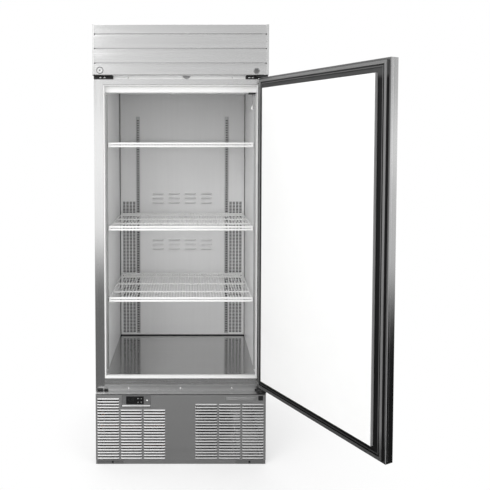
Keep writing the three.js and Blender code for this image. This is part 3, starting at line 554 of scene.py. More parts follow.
DRESS = {
    steel_upright: "side_panel_left side_panel_right door_pan header_cap_left header_cap_right",
    steel_level: "face_rail_top face_rail_bottom",
    steel_ledge: "ledge_plate",
    steel_grille: "base_pan",
    steel_plain: "door_handle lock_cam",
    zinc: "top_panel rear_panel rear_grille",
    room_metal: "evaporator_cover",
    wall_metal: "inner_liner",
    steel_floor: "floor_plate",
    coil_metal: "evaporator_coil condenser_fan_blade",
    white_trim: "breaker_strip light_fixture",
    white_liner: "door_inner_liner",
    black_coat: (
        "hinge_bracket_top hinge_bracket_bottom evaporator_fan_motor condenser_fan_shroud"
        " condenser_fan_motor compressor"
    ),
    grey_skin: "door_sensor door_bushing_top door_bushing_bottom electrical_box",
    dark_skin: "controller_bezel",
    window: "controller_display",
    black_skin: (
        "evaporator_fan_blade power_inlet condensate_pan"
        " controller_key_set controller_key_down controller_key_power controller_key_up"
    ),
    chrome: "lock_cylinder",
    copper: "discharge_line suction_line",
    foam: "foam_insulation door_foam",
}
BEVELS = {
    0.4: "lock_cylinder",
    0.5: (
        "ledge_plate door_handle side_panel_left side_panel_right power_inlet top_panel floor_plate"
        " lock_cam"
    ),
    0.6: "header_cap_left header_cap_right controller_bezel door_sensor",
    0.7: "door_pan",
    0.8: "breaker_strip hinge_bracket_top hinge_bracket_bottom base_pan",
    1.0: "electrical_box condensate_pan",
    1.2: "light_fixture",
    1.4: "door_inner_liner",
    1.5: "condenser_fan_motor compressor",
}
bevel_of = {name: width for width, names in BEVELS.items() for name in names.split()}
for material, names in DRESS.items():
    for name in names.split():
        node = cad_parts[name]
        node.material_slots[0].material = material
        if name in bevel_of:
            node.modifiers.new("weld", "WELD").merge_threshold = 0.00002
            soften(node, bevel_of[name], 40).harden_normals = True

# ---------- header and the strip under it ----------

GROOVES = (1764, 1826.4, 1888.4)
GROOVE_SECTION = ((0, -4), (0.25, -3), (0.9, -2.3), (2, -2), (7, -1.9), (7, 1.9), (0.5, 2), (0, 2.5))
SKIN = 8
folds = [(FRONT + SKIN, HEADER_BOTTOM), (FRONT + 1, HEADER_BOTTOM), (FRONT, HEADER_BOTTOM + 1)]
for z in GROOVES:
    folds += [(FRONT + a, z + b) for a, b in GROOVE_SECTION]
folds += [(FRONT, TOP - 1), (FRONT + 1, TOP), (HEADER_BACK, TOP)]
folds += [(HEADER_BACK, TOP - 1.5), (FRONT + SKIN, TOP - 1.5)]
header = Form().prism(folds, "x", -HEADER_HALF, HEADER_HALF)
piece("header_front", header, "cabinet", steel_level, ["header_panel"])

LOCK, PLUG = (-347.2, 1733.7), (328, 1731)
CAM_WAY = (-358, -309)


def round_cam(x, y):
    """A plate's outline with a notch from the back, where the lock's cam turns down through it."""
    ahead = FRONT + SKIN + 1.5
    notch = [(CAM_WAY[1], y[1]), (CAM_WAY[1], ahead), (CAM_WAY[0], ahead), (CAM_WAY[0], y[1])]
    return [(x[0], y[0]), (x[1], y[0]), (x[1], y[1]), *notch, (x[0], y[1])]


def before_front(profile):
    """(a, how far before the header's face) as (a, Y)."""
    return [(a, FRONT - b) for a, b in profile]


# A plate of the paler, less metallic room lining under the header's steel: painted light, so the underside
# reads bright.
plan = round_cam((-HEADER_HALF, HEADER_HALF), (FRONT + 1.5, HEADER_BACK))
underside = Form().prism(plan, "z", HEADER_BOTTOM - 0.7, HEADER_BOTTOM - 0.1)
piece("header_underside", underside, "cabinet", room_metal, bevel=0.2)
# Black plugs at the open ends of the grooves: painted shade in the groove ends.
ends = Form()
for z in GROOVES:
    for x in (-HEADER_HALF, HEADER_HALF):
        ends.prism(rounded((x - 2, x + 2), (z - 2.2, z + 2.2), 1.2), "y", FRONT - 0.15, FRONT + 3)
piece("groove_ends", ends, "cabinet", black_skin, bevel=0.1)

ring = [(13, -1), (13, 2), (13.4, 2.4), (14.4, 2.2), (15, 1), (15, -1), (13, -1)]
collar = Form().lathe(before_front(ring), LOCK, "y", 32)
piece("lock_collar", collar, "cabinet", black_skin)
disc = [(0, 2.1), (0.9, 2.1), (1.3, 2.4), (2.3, 2.4), (2.6, 1.9)]
piece("lock_keyway", Form().lathe(before_front(disc), LOCK, "y", 24), "lock", black_skin)
cap = [(11.5, -1), (11.5, 1.4), (10.4, 2.4), (6.4, 2.4), (6, 0.8), (0, 0.6)]
plug = Form().lathe(before_front(cap), PLUG, "y", 6)
rim = [(13, -1), (13, 0.6), (12.2, 1), (11.5, 1), (11.5, -1)]
plug.lathe(before_front(rim), PLUG, "y", 32)
piece("header_plug", plug, "cabinet", dark_skin, bevel=0.3)

STRIP_Z = (1699.5, 1713.8)
strip_y = FACE - 0.3
section = [(0, 1699.5), (2.4, 1699.5), (2.4, 1712.2), (1.6, 1714), (0, 1714)]
strip = Form().prism([(strip_y - a, z) for a, z in section], "x", -293, 283)
piece("top_trim_strip", strip, "cabinet", white_trim, bevel=0.4)
plate = Form().prism(rounded((-12, 8), (1700.2, 1713.6), 1.5), "y", strip_y - 5, strip_y - 2.5)
piece("sensor_plate", plate, "cabinet", white_trim, bevel=0.5)
cover = Form().prism(rounded((-380, -295), STRIP_Z, 2), "y", strip_y - 6, strip_y)
cover.prism(round_cam((-380, -295), (FRONT + 2, strip_y - 3)), "z", 1712.2, STRIP_Z[1])
piece("hinge_cover_top_left", cover, "cabinet", black_coat, bevel=0.5)
shroud = Form().prism(rounded((285, 380), (FRONT + 2, strip_y - 1), 2), "z", 1713, 1713.9)
piece("hinge_cover_top_right", shroud, "cabinet", black_coat, bevel=0.3)

face_screws = Form()
for x in (-350, -332):
    face_screws.screw((x, 1706.5), "y", strip_y - 5.8, -2.6, 4.8)
for x, z in ((300.5, 1706.5), (316.8, 1706.5), (343.6, 1702.4)):
    face_screws.screw((x, z), "y", FACE - 4.2, -2.6, 4.6)
for x in (-229.6, 224.5):
    face_screws.screw((x, 1706), "y", strip_y - 2.3, -2, 3.6)
lip_y = corners("ledge_plate")[1][1] - 1.5
for x in (-233, -1, 228):
    face_screws.screw((x, 325.4), "y", lip_y + 0.2, -2.2, 4.4)
piece("frame_screws", face_screws, "cabinet", chrome)
pads = Form()
for x in ((-374, -347), (-343.5, -325)):
    pads.prism(rounded(x, (315.4, 321.6), 1.2), "y", lip_y - 5, lip_y - 0.4)
piece("ledge_pads_left", pads, "cabinet", black_skin, bevel=0.4)

# ---------- machine grille ----------

LOUVRE_PITCH, LOUVRE_TALL, LOUVRE_LOW = 12.7, 4.6, 24.6
FIELDS = [
    ((-368, -272), 22), ((-265, -172), 18), ((-163.5, -69), 18),
    ((64.5, 161.5), 20), ((168.5, 263.5), 20), ((271.5, 366), 20),
]
WINDOW_X, WINDOW_Z = (-240.7, -162.7), (270, 306)
grille_holes = [(WINDOW_X, WINDOW_Z)]
hoods = Form()
for x, rows in FIELDS:
    for row in range(rows):
        z = LOUVRE_LOW + LOUVRE_PITCH * row
        grille_holes.append(((x[0] + 1.5, x[1] - 1.5), (z - 7.2, z + 3)))
        hoods.louvre(x, (z + 0.2, z + LOUVRE_TALL + 0.6), FRONT + 0.3, 3.2)


def pierced(path, levels, holes):
    """Which cells of a standing sheet are metal, with holes given as (x range, z range)."""
    rows = {}
    for x, z in holes:
        rows.setdefault(z, []).append(x)

    def keep(i, j):
        x, z = (path[i][0] + path[i + 1][0]) / 2, (levels[j] + levels[j + 1]) / 2
        across = [a for (low, high), spans in rows.items() if low < z < high for a in spans]
        return not any(low < x < high for low, high in across)
    return keep


GRILLE_CORNER = 7
half, back = grille_high[0], grille_high[1]
inner = half - GRILLE_CORNER
left_corner = arc((-inner, FRONT + GRILLE_CORNER), GRILLE_CORNER, 180, 270, 5)
right_corner = arc((inner, FRONT + GRILLE_CORNER), GRILLE_CORNER, 270, 360, 5)
breaks = sorted({c for a, _ in grille_holes for c in a})
front_line = [(x, FRONT) for x in breaks if -inner < x < inner]
path = [(-half, back), *left_corner, *front_line, *right_corner, (half, back)]
levels = sorted({c for _, b in grille_holes for c in b} | {grille_low[2], grille_high[2]})
grille = Form().sheet(path, levels, pierced(path, levels, grille_holes), 1.5)
brim = [*left_corner, *right_corner, (half, back), (-half, back)]
grille.prism(brim, "z", grille_high[2] - 1.4, grille_high[2])
piece("grille_front", grille, "cabinet", steel_grille, ["grille_panel"])
piece("grille_hoods", hoods, "cabinet", steel_louvre, thick=0.8)

foot_y = FRONT - 0.3
for side, x, hole in (("left", (-368, -256), -301), ("right", (245, 372), 304)):
    foot = Form().prism(rounded(x, (1, 21), 2), "y", foot_y, foot_y + 1.6)
    piece(f"foot_plate_{side}", foot, "cabinet", steel_ledge, bevel=0.3)
    screw = Form().screw((hole, 10), "y", foot_y + 0.2, -2, 5)
    piece(f"foot_screw_{side}", screw, "cabinet", black_coat)

badge = Form().prism(rounded((200, 330), (287, 302), 2), "y", FRONT - 1.2, FRONT)
for z in (290.5, 294.5, 298.5):
    badge.box((206, 324), (FRONT - 1.7, FRONT - 1), (z - 0.7, z + 0.7))
piece("blank_badge", badge, "cabinet", steel_plain, bevel=0.3)
emblem = Form().prism(rounded((342, 363), (287, 307), 2), "y", FRONT - 1.8, FRONT)
emblem.lathe(before_front([(4.5, 1.7), (4.5, 2.5), (6, 2.5), (6, 1.7)]), (352.5, 297), "y", 24)
piece("blank_emblem", emblem, "cabinet", black_skin, bevel=0.4)

# ---------- controller ----------

DIGIT_Z = 288
ledge = Form().prism(
    [(FRONT - 2.2, 258.5), (FRONT - 5.4, 259.5), (FRONT - 5.8, 262), (FRONT - 2.2, 268)], "x", -258, -134,
)
piece("controller_ledge", ledge, "cabinet", steel_ledge, bevel=0.5)
dome = Form().lathe(before_front([(0, 4.4), (2.2, 4.1), (3.4, 3), (3.6, 2.1)]), (-148, DIGIT_Z), "y", 20)
piece("controller_led", dome, "cabinet", led)
glass_y = corners("controller_display")[0][1]
digits = Form()
SEGMENTS = {
    "a": ((-3.2, 3.2), (6.6, 7.6)), "g": ((-3.2, 3.2), (-0.5, 0.5)), "d": ((-3.2, 3.2), (-7.6, -6.6)),
    "f": ((-4.2, -3.2), (0.7, 6.8)), "b": ((3.2, 4.2), (0.7, 6.8)),
    "e": ((-4.2, -3.2), (-6.8, -0.7)), "c": ((3.2, 4.2), (-6.8, -0.7)),
}
for x, lit in ((-226, "afgcd"), (-212, "abgcdef")):
    for name in lit:
        a, b = SEGMENTS[name]
        digits.box([x + c for c in a], (glass_y - 0.25, glass_y + 0.1), [DIGIT_Z + c for c in b])
piece("display_digits", digits, "cabinet", lcd_ink)
for name in ("set", "down", "power", "up"):
    low, high = corners(f"controller_key_{name}")
    x, z, y = (low[0] + high[0]) / 2, (low[2] + high[2]) / 2, low[1]
    mark = Form()
    if name == "set":
        mark.lathe([(1.1, y + 0.1), (1.1, y - 0.3), (2, y - 0.3), (2, y + 0.1)], (x, z), "y", 20)
    elif name == "power":
        mark.tube([(a, y - 0.1, b) for a, b in arc((x, z), 1.9, 120, 420, 10)], 0.4, 6)
        mark.tube([(x, y - 0.1, z + 0.3), (x, y - 0.1, z + 2.4)], 0.4, 6)
    else:
        up = 1 if name == "up" else -1
        mark.prism([(x - 2, z - 1.2 * up), (x + 2, z - 1.2 * up), (x, z + 1.6 * up)], "y", y - 0.3, y + 0.1)
    piece(f"key_mark_{name}", mark, f"key_{name}", icon)

# ---------- room: duct panel, pilasters, shelves ----------

RETURNS_X = [252 + 17.6 * i for i in range(4)]
RETURN_WIDE, RETURN_TALL, RETURN_PITCH = 13, 5, 7.8
RETURN_Z = (399, 1104)
SLOTS_X = (-129.5, -43, 43, 129.5)
SLOTS_Z = (1147.4, 1123.7, 1099, 900, 875.6, 851.2)
DUCT_BOTTOM, DUCT_EDGE = 386.4, 305
WALL_GAPS = (4, 3)
duct_holes = []
for z in span(*RETURN_Z, RETURN_PITCH):
    for x in RETURNS_X:
        for a in ((x, x + RETURN_WIDE), (-x - RETURN_WIDE, -x)):
            duct_holes.append((a, (z, z + RETURN_TALL)))
duct_hoods = Form()
for z in SLOTS_Z:
    for x in SLOTS_X:
        duct_holes.append(((x - 28, x + 28), (z - 3.4, z)))
        duct_hoods.louvre((x - 29.5, x + 29.5), (z - 1.2, z + 4.4), DUCT_FACE + 0.2, 3)
left, right = -ROOM_HALF + WALL_GAPS[0], ROOM_HALF - WALL_GAPS[1]
path = [(left, DUCT_EDGE), *arc((left + 1.2, DUCT_FACE + 1.2), 1.2, 180, 270, 3)]
path += [(x, DUCT_FACE) for x in sorted({c for a, _ in duct_holes for c in a})]
path += [*arc((right - 1.2, DUCT_FACE + 1.2), 1.2, 270, 360, 3), (right, DUCT_EDGE)]
levels = sorted({c for _, b in duct_holes for c in b} | {DUCT_BOTTOM, DUCT_TOP})
duct = Form().sheet(path, levels, pierced(path, levels, duct_holes), 1.5)
piece("duct_front", duct, "cabinet", room_metal, ["duct_panel"])
piece("duct_hoods", duct_hoods, "cabinet", room_metal, thick=0.7)
section = [(0.1, 391.5), (1.4, 392), (1.4, 396.6), (0.1, 397)]
flange = Form().prism([(DUCT_FACE - a, z) for a, z in section], "x", left + 2, right - 2)
piece("duct_flange", flange, "cabinet", white_trim, bevel=0.2)

# Black strips that paint the shade behind the return holes, in the gaps round the duct's front and in the
# standards' slots.
shade = Form()
for x, z, radius, deep in (
    ((-322, -248), (392, 1111), 3, 4), ((248, 322), (392, 1111), 3, 4),
    ((-ROOM_HALF + 1, -ROOM_HALF + 6), (384, 1684), 1, 6),
    ((ROOM_HALF - 6, ROOM_HALF - 1), (384, 1684), 1, 6),
    ((-ROOM_HALF + 1, ROOM_HALF - 1), (381.6, 384.6), 1, 8),
):
    shade.prism(rounded(x, z, radius), "y", DUCT_FACE + deep, DUCT_FACE + deep + 1.5)

PILASTER_STEP, PILASTER_SLOT = 12.7, 6.2
PILASTER_Y, PILASTER_X = -275, 236
PILASTER_SECTION = [(-9.5, 0.3), (-9.5, 5), (-8, 6.7), (-5.2, 7), (5.2, 7), (8, 6.7), (9.5, 5), (9.5, 0.3)]
SLOTTED_FACE = 3
for side, (at, facing) in {
    "front_left": ((-ROOM_HALF, PILASTER_Y), (1, 0)), "front_right": ((ROOM_HALF, PILASTER_Y), (-1, 0)),
    "rear_left": ((-PILASTER_X, DUCT_FACE), (0, -1)), "rear_right": ((PILASTER_X, DUCT_FACE), (0, -1)),
}.items():
    low, high = corners(f"pilaster_{side}")
    across = (-facing[1], facing[0])

    def on_wall(section, at=at, across=across, facing=facing):
        """(along the wall, out of it) as (X, Y)."""
        return [tuple(at[k] + a * across[k] + b * facing[k] for k in (0, 1)) for a, b in section]

    slots = span(low[2] + 8, high[2] - 12, PILASTER_STEP)
    levels = sorted([low[2], high[2], *slots, *[z + PILASTER_SLOT for z in slots]])

    def slot_keep(i, j, levels=levels, slots=set(slots)):
        return not (i == SLOTTED_FACE and levels[j] in slots)

    standard = Form().sheet(on_wall(PILASTER_SECTION), levels, slot_keep, 1.2)
    piece(f"standard_{side}", standard, "cabinet", steel_standard, [f"pilaster_{side}"])
    behind = on_wall([(-7, 1.5), (-7, 4.4), (7, 4.4), (7, 1.5)])
    shade.prism(behind, "z", low[2] + 2, high[2] - 2)
piece("shadow_strips", shade, "cabinet", black_skin, bevel=0.2)

RAIL, ROD, WIRE = 4.6, 3.9, 1.25
LOWER_RAIL = 17.2
ROD_PLACES = (16, 134, 298, 460)
SHELF_WIRES = 50
CLIP_HOOK = [(0, 0), (9, 0), (9, 14), (7.6, 14), (7.6, 1.4), (1.2, 1.4), (1.2, 17), (0, 17)]
clips = Form()
for place in ("top", "middle", "bottom"):
    low, high = corners(f"shelf_{place}")
    (x0, y0), (x1, y1), top = low[:2], high[:2], high[2]
    wires = Form()

    # the two sides and the back in one bar, then two heavy rails across the front with their end posts
    sides_path = eased([
        (x0 + RAIL, y0 + RAIL, top - RAIL), (x0 + RAIL, y1 - 3, top - RAIL),
        (x1 - RAIL, y1 - 3, top - RAIL), (x1 - RAIL, y0 + RAIL, top - RAIL),
    ], 12, 5)
    wires.tube(sides_path, 3)
    for z in (top - RAIL, top - LOWER_RAIL):
        wires.tube([(x0 + 1, y0 + RAIL, z), (x1 - 1, y0 + RAIL, z)], RAIL, 10)
    for x in (x0 + RAIL, x1 - RAIL):
        wires.tube([(x, y0 + RAIL, top - 2), (x, y0 + RAIL, top - 19)], 3.2, 8)
        brace = [(x, y0 + 8, top - 17), (x, y0 + 60, top - 17), (x, y0 + 110, top - 5)]
        wires.tube(eased(brace, 10, 3), 2.4, 6)

    # a stop hanging along the back
    y = y1 - 5
    stop = [(x0 + 12, y, top - 4), (x0 + 12, y, top - 17), (x1 - 12, y, top - 17), (x1 - 12, y, top - 4)]
    wires.tube(eased(stop, 6, 3), 2.4, 8)
    for share in (0.2, 0.4, 0.6, 0.8):
        x = x0 + share * (x1 - x0)
        wires.tube([(x, y, top - 3), (x, y, top - 17)], 1.8, 6)

    # rods across, and the wires that lie on them and bend down over the front
    for y in (*[y0 + a for a in ROD_PLACES], y1 - 16):
        wires.tube([(x0 + 3, y, top - 6.4), (x1 - 3, y, top - 6.4)], ROD, 8)
    for i in range(SHELF_WIRES):
        x = x0 + 9 + (x1 - x0 - 18) * i / (SHELF_WIRES - 1)
        run = [(x, y0 + RAIL, top - 17), (x, y0 + 1.5 + WIRE, top - WIRE - 0.2), (x, y0 + 14, top - WIRE)]
        wires.tube(eased([*run, (x, y1 - 2, top - WIRE)], 4, 2), WIRE, 6)
    shelf = f"shelf_{place}"
    piece(f"shelf_wires_{place}", wires, shelf, wire_coat, [shelf])

    seat = top - 24
    for x in (-327, 327):
        inwards = math.copysign(1, -x)
        wall = -inwards * (ROOM_HALF - 7.4)
        hook = [(wall + inwards * a * 0.5, seat + b) for a, b in CLIP_HOOK]
        clips.prism(hook, "y", PILASTER_Y - 5, PILASTER_Y + 5)
    for x in (-PILASTER_X, PILASTER_X):
        hook = [(DUCT_FACE - 7.6 - a, seat + b) for a, b in CLIP_HOOK]
        clips.prism(hook, "x", x - 5, x + 5)
piece("shelf_clips", clips, "cabinet", steel_plain, bevel=0.25)

# ---------- lamp, probe and fan guard under the ceiling ----------

section = [(-0.15, 1676.2), (-0.15, 1677.9), (1.5, 1677.9), (1.5, 1676.2)]
opening_seam = Form().prism([(FACE + a, z) for a, z in section], "x", -338, 338)
piece("opening_seam", opening_seam, "cabinet", dark_skin)

lamp_low, lamp_high = corners("light_fixture")
lens_form = Form().prism(
    rounded((lamp_low[1] + 6, lamp_high[1] - 4), (lamp_low[2] - 1, lamp_low[2] + 2), 1.4), "x", -320, 320,
)
for side in (-1, 1):
    x = sorted((side * 332.6, side * (ROOM_HALF + 0.1)))
    lens_form.box(x, (lamp_low[1] + 0.2, lamp_high[1] - 4), (lamp_low[2] + 0.2, lamp_high[2] - 1))
piece("lamp_lens", lens_form, "cabinet", lens_white, bevel=0.4)
probe_x, probe_y = 319, FACE + 52
bulb = Form().lathe(
    [(0, 1567.5), (3.4, 1568.6), (5.4, 1572), (5.6, 1577), (4.4, 1581), (2, 1583.5), (2, 1588), (0, 1588)],
    (probe_x, probe_y), "z", 20,
)
piece("probe_bulb", bulb, "cabinet", white_trim, ["temperature_probe"])
lead = eased([(probe_x, probe_y, 1586), (probe_x + 1.5, probe_y, 1615), (probe_x, probe_y, 1641),
              (probe_x, probe_y + 22, 1652), (probe_x, probe_y + 34, CEILING + 2)], 12, 4)
piece("probe_lead", Form().tube(lead, 1.3, 8), "cabinet", grey_skin)
clip = Form().prism(rounded((301, 331), (FACE + 24, FACE + 62), 3), "z", 1637.4, 1643.7)
piece("probe_clip", clip, "cabinet", black_skin, bevel=0.6)

FAN_Y = -120
GUARD_RINGS = (24, 42, 60, 78, 96, 108)


def guard_height(radius):
    return CEILING - 3.5 - 5 * math.cos(radius / 75)


guard = Form()
for radius in GUARD_RINGS:
    circle = arc((0, FAN_Y), radius, 0, 360, 48)[:-1]
    guard.tube([(x, y, guard_height(radius)) for x, y in circle], 1.4, 6, closed=True)
for k in range(8):
    turn = math.pi * (k + 0.5) / 4
    spoke = [(r * math.cos(turn), FAN_Y + r * math.sin(turn), guard_height(r) + 1.4)
             for r in (10, *GUARD_RINGS[:-1], 112)]
    guard.tube(spoke, 1.6, 6)
boss = [(0, CEILING - 9.4), (18, CEILING - 9.2), (20, CEILING - 7.6), (0, CEILING - 6.4)]
guard.lathe(boss, (0, FAN_Y), "z", 28)
piece("fan_guard", guard, "cabinet", wire_coat)

# ---------- door: gasket, trim and edges, each a profile of (inset, height over the flange) ----------

DOOR_RINGS = [
    ("gasket_profile", rubber, "gasket_rubber", ["door_gasket"], [
        (8.6, 0.4), (8.4, 3), (8.7, 6), (8.4, 10.4), (9.2, 11.2), (20, 11.2), (20.4, 9.4), (20.6, 6),
        (23, 5.6), (24.2, 8.8), (25.2, 10), (29.2, 10), (30.4, 8.2), (31, 6.6), (34, 8), (42, 10),
        (46, 11.2), (48.3, 11.5), (48.4, 9), (46.8, 6), (46.8, 0.4),
    ]),
    ("gasket_faces", rubber_face, "gasket_rubber", [], [
        (9.2, 11.1), (9.4, 11.5), (10.2, 11.7), (19.2, 11.7), (19.8, 11.5), (20, 11.1),
    ]),
    ("gasket_rib", rubber_edge, "gasket_rubber", [], [(25.4, 9.9), (25.8, 10.5), (28.4, 10.5), (28.9, 9.9)]),
    # A dark grey bead round the steel pan's outer corner: painted shade, a dark line along the door's edge.
    ("door_edge_bead", painted_shade_grey, "stainless", [], [
        (-0.15, -1.1), (-0.1, 0.3), (0.2, 0.7), (0.7, 0.7), (0.7, -0.3), (0.2, -1.1),
    ]),
    ("door_edge_lip", rubber_edge, "gasket_rubber", [], [
        (0.9, -0.2), (0.9, 0.4), (1.3, 0.8), (7.2, 0.8), (7.8, 0.5), (7.8, -0.2),
    ]),
    # A grey skin over the white liner's raised side wall: painted shade.
    ("liner_wall_shade", painted_shade_grey, "grey_plastic", [], [
        (48, 11.6), (48, 22.4), (48.3, 22.9), (49.2, 23.2), (49.2, 11.6),
    ]),
]
TRIM_RING = [
    (8.3, -3.4), (8.3, -0.2), (9.2, 0.1), (16.4, 0.1), (17, -1.6), (46, -1.6), (47.6, -0.4), (48.2, -0.4),
    (48.2, -3.4),
]
for name, material, slot, stands_for, profile in DOOR_RINGS:
    ring = Form().door_ring(profile)
    piece(name, ring, "door", material, stands_for, turn=DOOR_TURN, smooth=50)
trim = Form().door_ring(TRIM_RING)
piece("trim_profile", trim, "door", black_skin, ["door_trim_frame"], turn=DOOR_TURN)
# A thin strip proud of the free edge along the pan's seam, in the lighter steel: the ridge is real, and its
# lighter tone is a painted highlight.
edge_seam = Form().box((FREE - 0.25, FREE + 0.3), (4.5, 5.3), (DOOR_BOTTOM + 6, DOOR_TOP - 6))
piece("door_edge_seam", edge_seam, "door", steel_plain, turn=DOOR_TURN, bevel=0.1)

# ---------- machine room ----------

deck = Form().prism(rounded((-378.6, 378.6), (FACE + 1.9, 363.6), 3), "z", 314.3, 315.7)
piece("machine_deck", deck, "cabinet", zinc)

(x0, x1), (y0, y1), (z0, z1) = (-345, -60), (-300, -256), (26, 290)
fins = Form()
for x in span(x0 + 4, x1 - 4, 3.4):
    fins.box((x - 0.25, x + 0.25), (y0, y1), (z0, z1))
piece("condenser_fins", fins, "cabinet", coil_metal, ["condenser_coil"])
PIPE_ROWS, PIPE_PITCH, PIPE_RADIUS = 6, 44, 4
pipes = Form()
for k in range(PIPE_ROWS):
    even = k % 2 == 0
    y, other = (y0 + 11, y1 - 11) if even else (y1 - 11, y0 + 11)
    z = z0 + 22 + PIPE_PITCH * k
    pipes.tube([(x0 - 4, y, z), (x1 + 4, y, z)], PIPE_RADIUS, 10)
    if k < PIPE_ROWS - 1:
        end, out = (x1 + 4, x1 + 20) if even else (x0 - 4, x0 - 20)
        above = z + PIPE_PITCH
        bend = [(end, y, z), (out, y, z), (out, other, above), (end, other, above)]
        pipes.tube(eased(bend, 12, 5), PIPE_RADIUS, 10)
piece("condenser_pipes", pipes, "cabinet", copper)
coil_frame = Form()
for x in (x0, x1):
    coil_frame.box((x - 0.8, x + 0.8), (y0 - 2, y1), (3, z1 + 2))
coil_frame.box((x0, x1), (y0 - 2, y1), (z1 + 0.4, z1 + 2))
piece("condenser_frame", coil_frame, "cabinet", zinc, bevel=0.3)

DRIER_X, DRIER_Z = 20, 92
shell = [
    (0, -72), (4, -71), (4, -58), (13, -48), (14, -44), (14, 40), (13, 44), (4, 54), (4, 66), (0, 67),
]
inlet = [(DRIER_X, -68, DRIER_Z), (DRIER_X, -120, DRIER_Z), (-30, -150, 60), (-42, -278, 48)]
outlet = [(DRIER_X, 62, DRIER_Z), (DRIER_X, 120, 96), (DRIER_X, 190, 180), (DRIER_X, 220, 312)]
drier = Form().lathe(shell, (DRIER_X, DRIER_Z), "y", 24)
drier.tube(eased(inlet, 24, 5), 3.2, 8)
drier.tube(eased(outlet, 30, 5), 2.4, 8)
piece("filter_drier", drier, "cabinet", copper)

# ---------- screws on the back, the rear grille and the top ---

panel_screws = Form()
for z in span(345, 1905, 195):
    for x in (-371, 371):
        panel_screws.screw((x, z), "y", BACK - 0.2, 2.2)
grille_back = corners("rear_grille")[1][1]
for x in (-360, 0, 360):
    for z in (296, 40):
        panel_screws.screw((x, z), "y", grille_back - 0.2, 2.2)
for x in (-340, -115, 115, 340):
    for y in (FACE + 16, BACK - 14):
        panel_screws.screw((x, y), "z", TOP - 0.2, 2)
piece("panel_screws", panel_screws, "cabinet", chrome)

# ---------- stage ----------

FLOOR_REACH = 30
floor_mesh = bpy.data.meshes.new("stage_floor")
around = [(x * FLOOR_REACH, y * FLOOR_REACH, 0) for x, y in ((-1, -1), (1, -1), (1, 1), (-1, 1))]
floor_mesh.from_pydata(around, [], [(0, 1, 2, 3)])
floor = bpy.data.objects.new("stage_floor", floor_mesh)
floor.location = (0, 0, -0.0006)
scene.collection.objects.link(floor)

ground = bpy.data.materials.new("ground")
ground.use_nodes = True
tree = ground.node_tree
tree.nodes.clear()


def spread(tree, value, start, end, low, high):
    """The value, going smoothly from low at the start to high at the end."""
    inputs = {"Value": value, "From Min": start, "From Max": end, "To Min": low, "To Max": high}
    return add_node(tree, "ShaderNodeMapRange", inputs, interpolation_type="SMOOTHSTEP").outputs["Result"]


def combine(tree, operation, first, second):
    return add_node(tree, "ShaderNodeMath", {0: first, 1: second}, operation=operation).outputs[0]


# Polished faces see a floor that is dark close by and bright far off, as in a real room.
place = add_node(tree, "ShaderNodeTexCoord").outputs["Object"]
axes = add_node(tree, "ShaderNodeSeparateXYZ", {"Vector": place}).outputs
ahead = spread(tree, axes["Y"], -7.6, -3.2, 1.2, 0.19)
aside = spread(tree, axes["X"], 0.5, 1.1, 1.0, 0.06)
far_right = spread(tree, axes["X"], 2.9, 6.2, 0.0, 0.66)
behind = spread(tree, axes["Y"], -0.7, 0.3, 0.0, 0.7)
front = combine(tree, "ADD", combine(tree, "MULTIPLY", ahead, aside), far_right)
level = combine(tree, "MAXIMUM", front, behind)
mirror_floor = add_node(tree, "ShaderNodeEmission", {"Color": (1, 1, 1, 1), "Strength": level})

# Seen directly it is pale, and turns to plain white away from the object.
matt = add_node(tree, "ShaderNodeBsdfDiffuse", {"Color": (0.9, 0.9, 0.9, 1), "Roughness": 0.4})
white = add_node(tree, "ShaderNodeEmission", {"Color": (1, 1, 1, 1), "Strength": 1.0})
away = [
    spread(tree, axes[axis], near, far, 0.5, 1.0)
    for axis, near, far in (("X", -0.4, -0.7), ("X", 0.4, 1.0), ("Y", -0.5, -1.2), ("Y", 0.4, 1.0))
]
out_x = combine(tree, "MAXIMUM", away[0], away[1])
out_y = combine(tree, "MAXIMUM", away[2], away[3])
rays = add_node(tree, "ShaderNodeLightPath").outputs
bare = combine(tree, "MULTIPLY", combine(tree, "MAXIMUM", out_x, out_y), rays["Is Camera Ray"])
pale = add_node(tree, "ShaderNodeMixShader", {0: bare})
tree.links.new(matt.outputs[0], pale.inputs[1])
tree.links.new(white.outputs[0], pale.inputs[2])
mix = add_node(tree, "ShaderNodeMixShader", {0: rays["Is Glossy Ray"]})
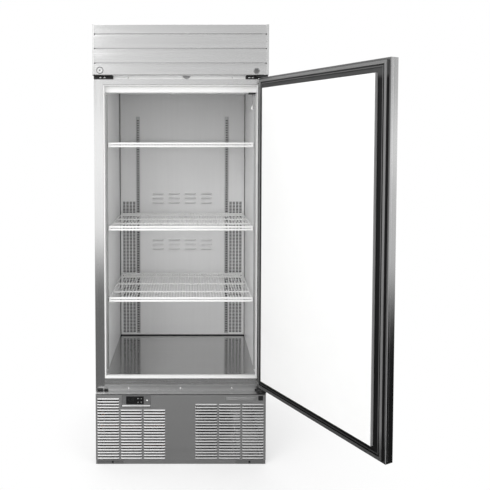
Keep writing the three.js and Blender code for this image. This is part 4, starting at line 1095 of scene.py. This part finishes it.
tree.links.new(pale.outputs[0], mix.inputs[1])
tree.links.new(mirror_floor.outputs[0], mix.inputs[2])
output = add_node(tree, "ShaderNodeOutputMaterial")
tree.links.new(mix.outputs[0], output.inputs["Surface"])
floor_mesh.materials.append(ground)

# ---------- light ----------

world = bpy.data.worlds.new("studio")
world.use_nodes = True
scene.world = world
tree = world.node_tree
tree.nodes.clear()
toward = add_node(tree, "ShaderNodeTexCoord").outputs["Generated"]
axes = add_node(tree, "ShaderNodeSeparateXYZ", {"Vector": toward}).outputs
rise = spread(tree, axes["Z"], 0.0, 0.1, 1.32, 0.85)
near, far = spread(tree, axes["X"], -0.25, 0.25, 1.08, 0.8), spread(tree, axes["X"], 0.4, 0.85, 1, 0.86)
room_light = combine(tree, "MULTIPLY", rise, combine(tree, "MULTIPLY", near, far))
rays = add_node(tree, "ShaderNodeLightPath").outputs
seen = add_node(tree, "ShaderNodeMix", {0: rays["Is Camera Ray"]}, data_type="FLOAT")
tree.links.new(room_light, seen.inputs[2])
seen.inputs[3].default_value = 1.0
background = add_node(tree, "ShaderNodeBackground", {"Color": (1, 1, 1, 1), "Strength": seen.outputs[0]})
output = add_node(tree, "ShaderNodeOutputWorld")
tree.links.new(background.outputs[0], output.inputs["Surface"])

LIGHTS = [
    ("key", (-2.4, -3.6, 3.2), (0, 0, 1.0), 2.6, 60),
    ("fill", (2.6, -3.2, 2.2), (0, 0, 0.9), 2.4, 24),
    ("top", (0, 0.4, 4.2), (0, 0, 0), 3.0, 50),
    ("back", (0.5, 3.6, 2.6), (0, 0, 1.0), 2.8, 40),
]
for name, at, target, size, power in LIGHTS:
    lamp = bpy.data.lights.new(name, "AREA")
    lamp.shape = "SQUARE"
    lamp.size = size
    lamp.energy = power
    rig = bpy.data.objects.new(name, lamp)
    rig.location = at
    rig.rotation_euler = (Vector(target) - Vector(at)).to_track_quat("-Z", "Y").to_euler()
    scene.collection.objects.link(rig)

scene.view_settings.view_transform = "Standard"

# ---------- scene update -------------

bpy.context.view_layer.update()
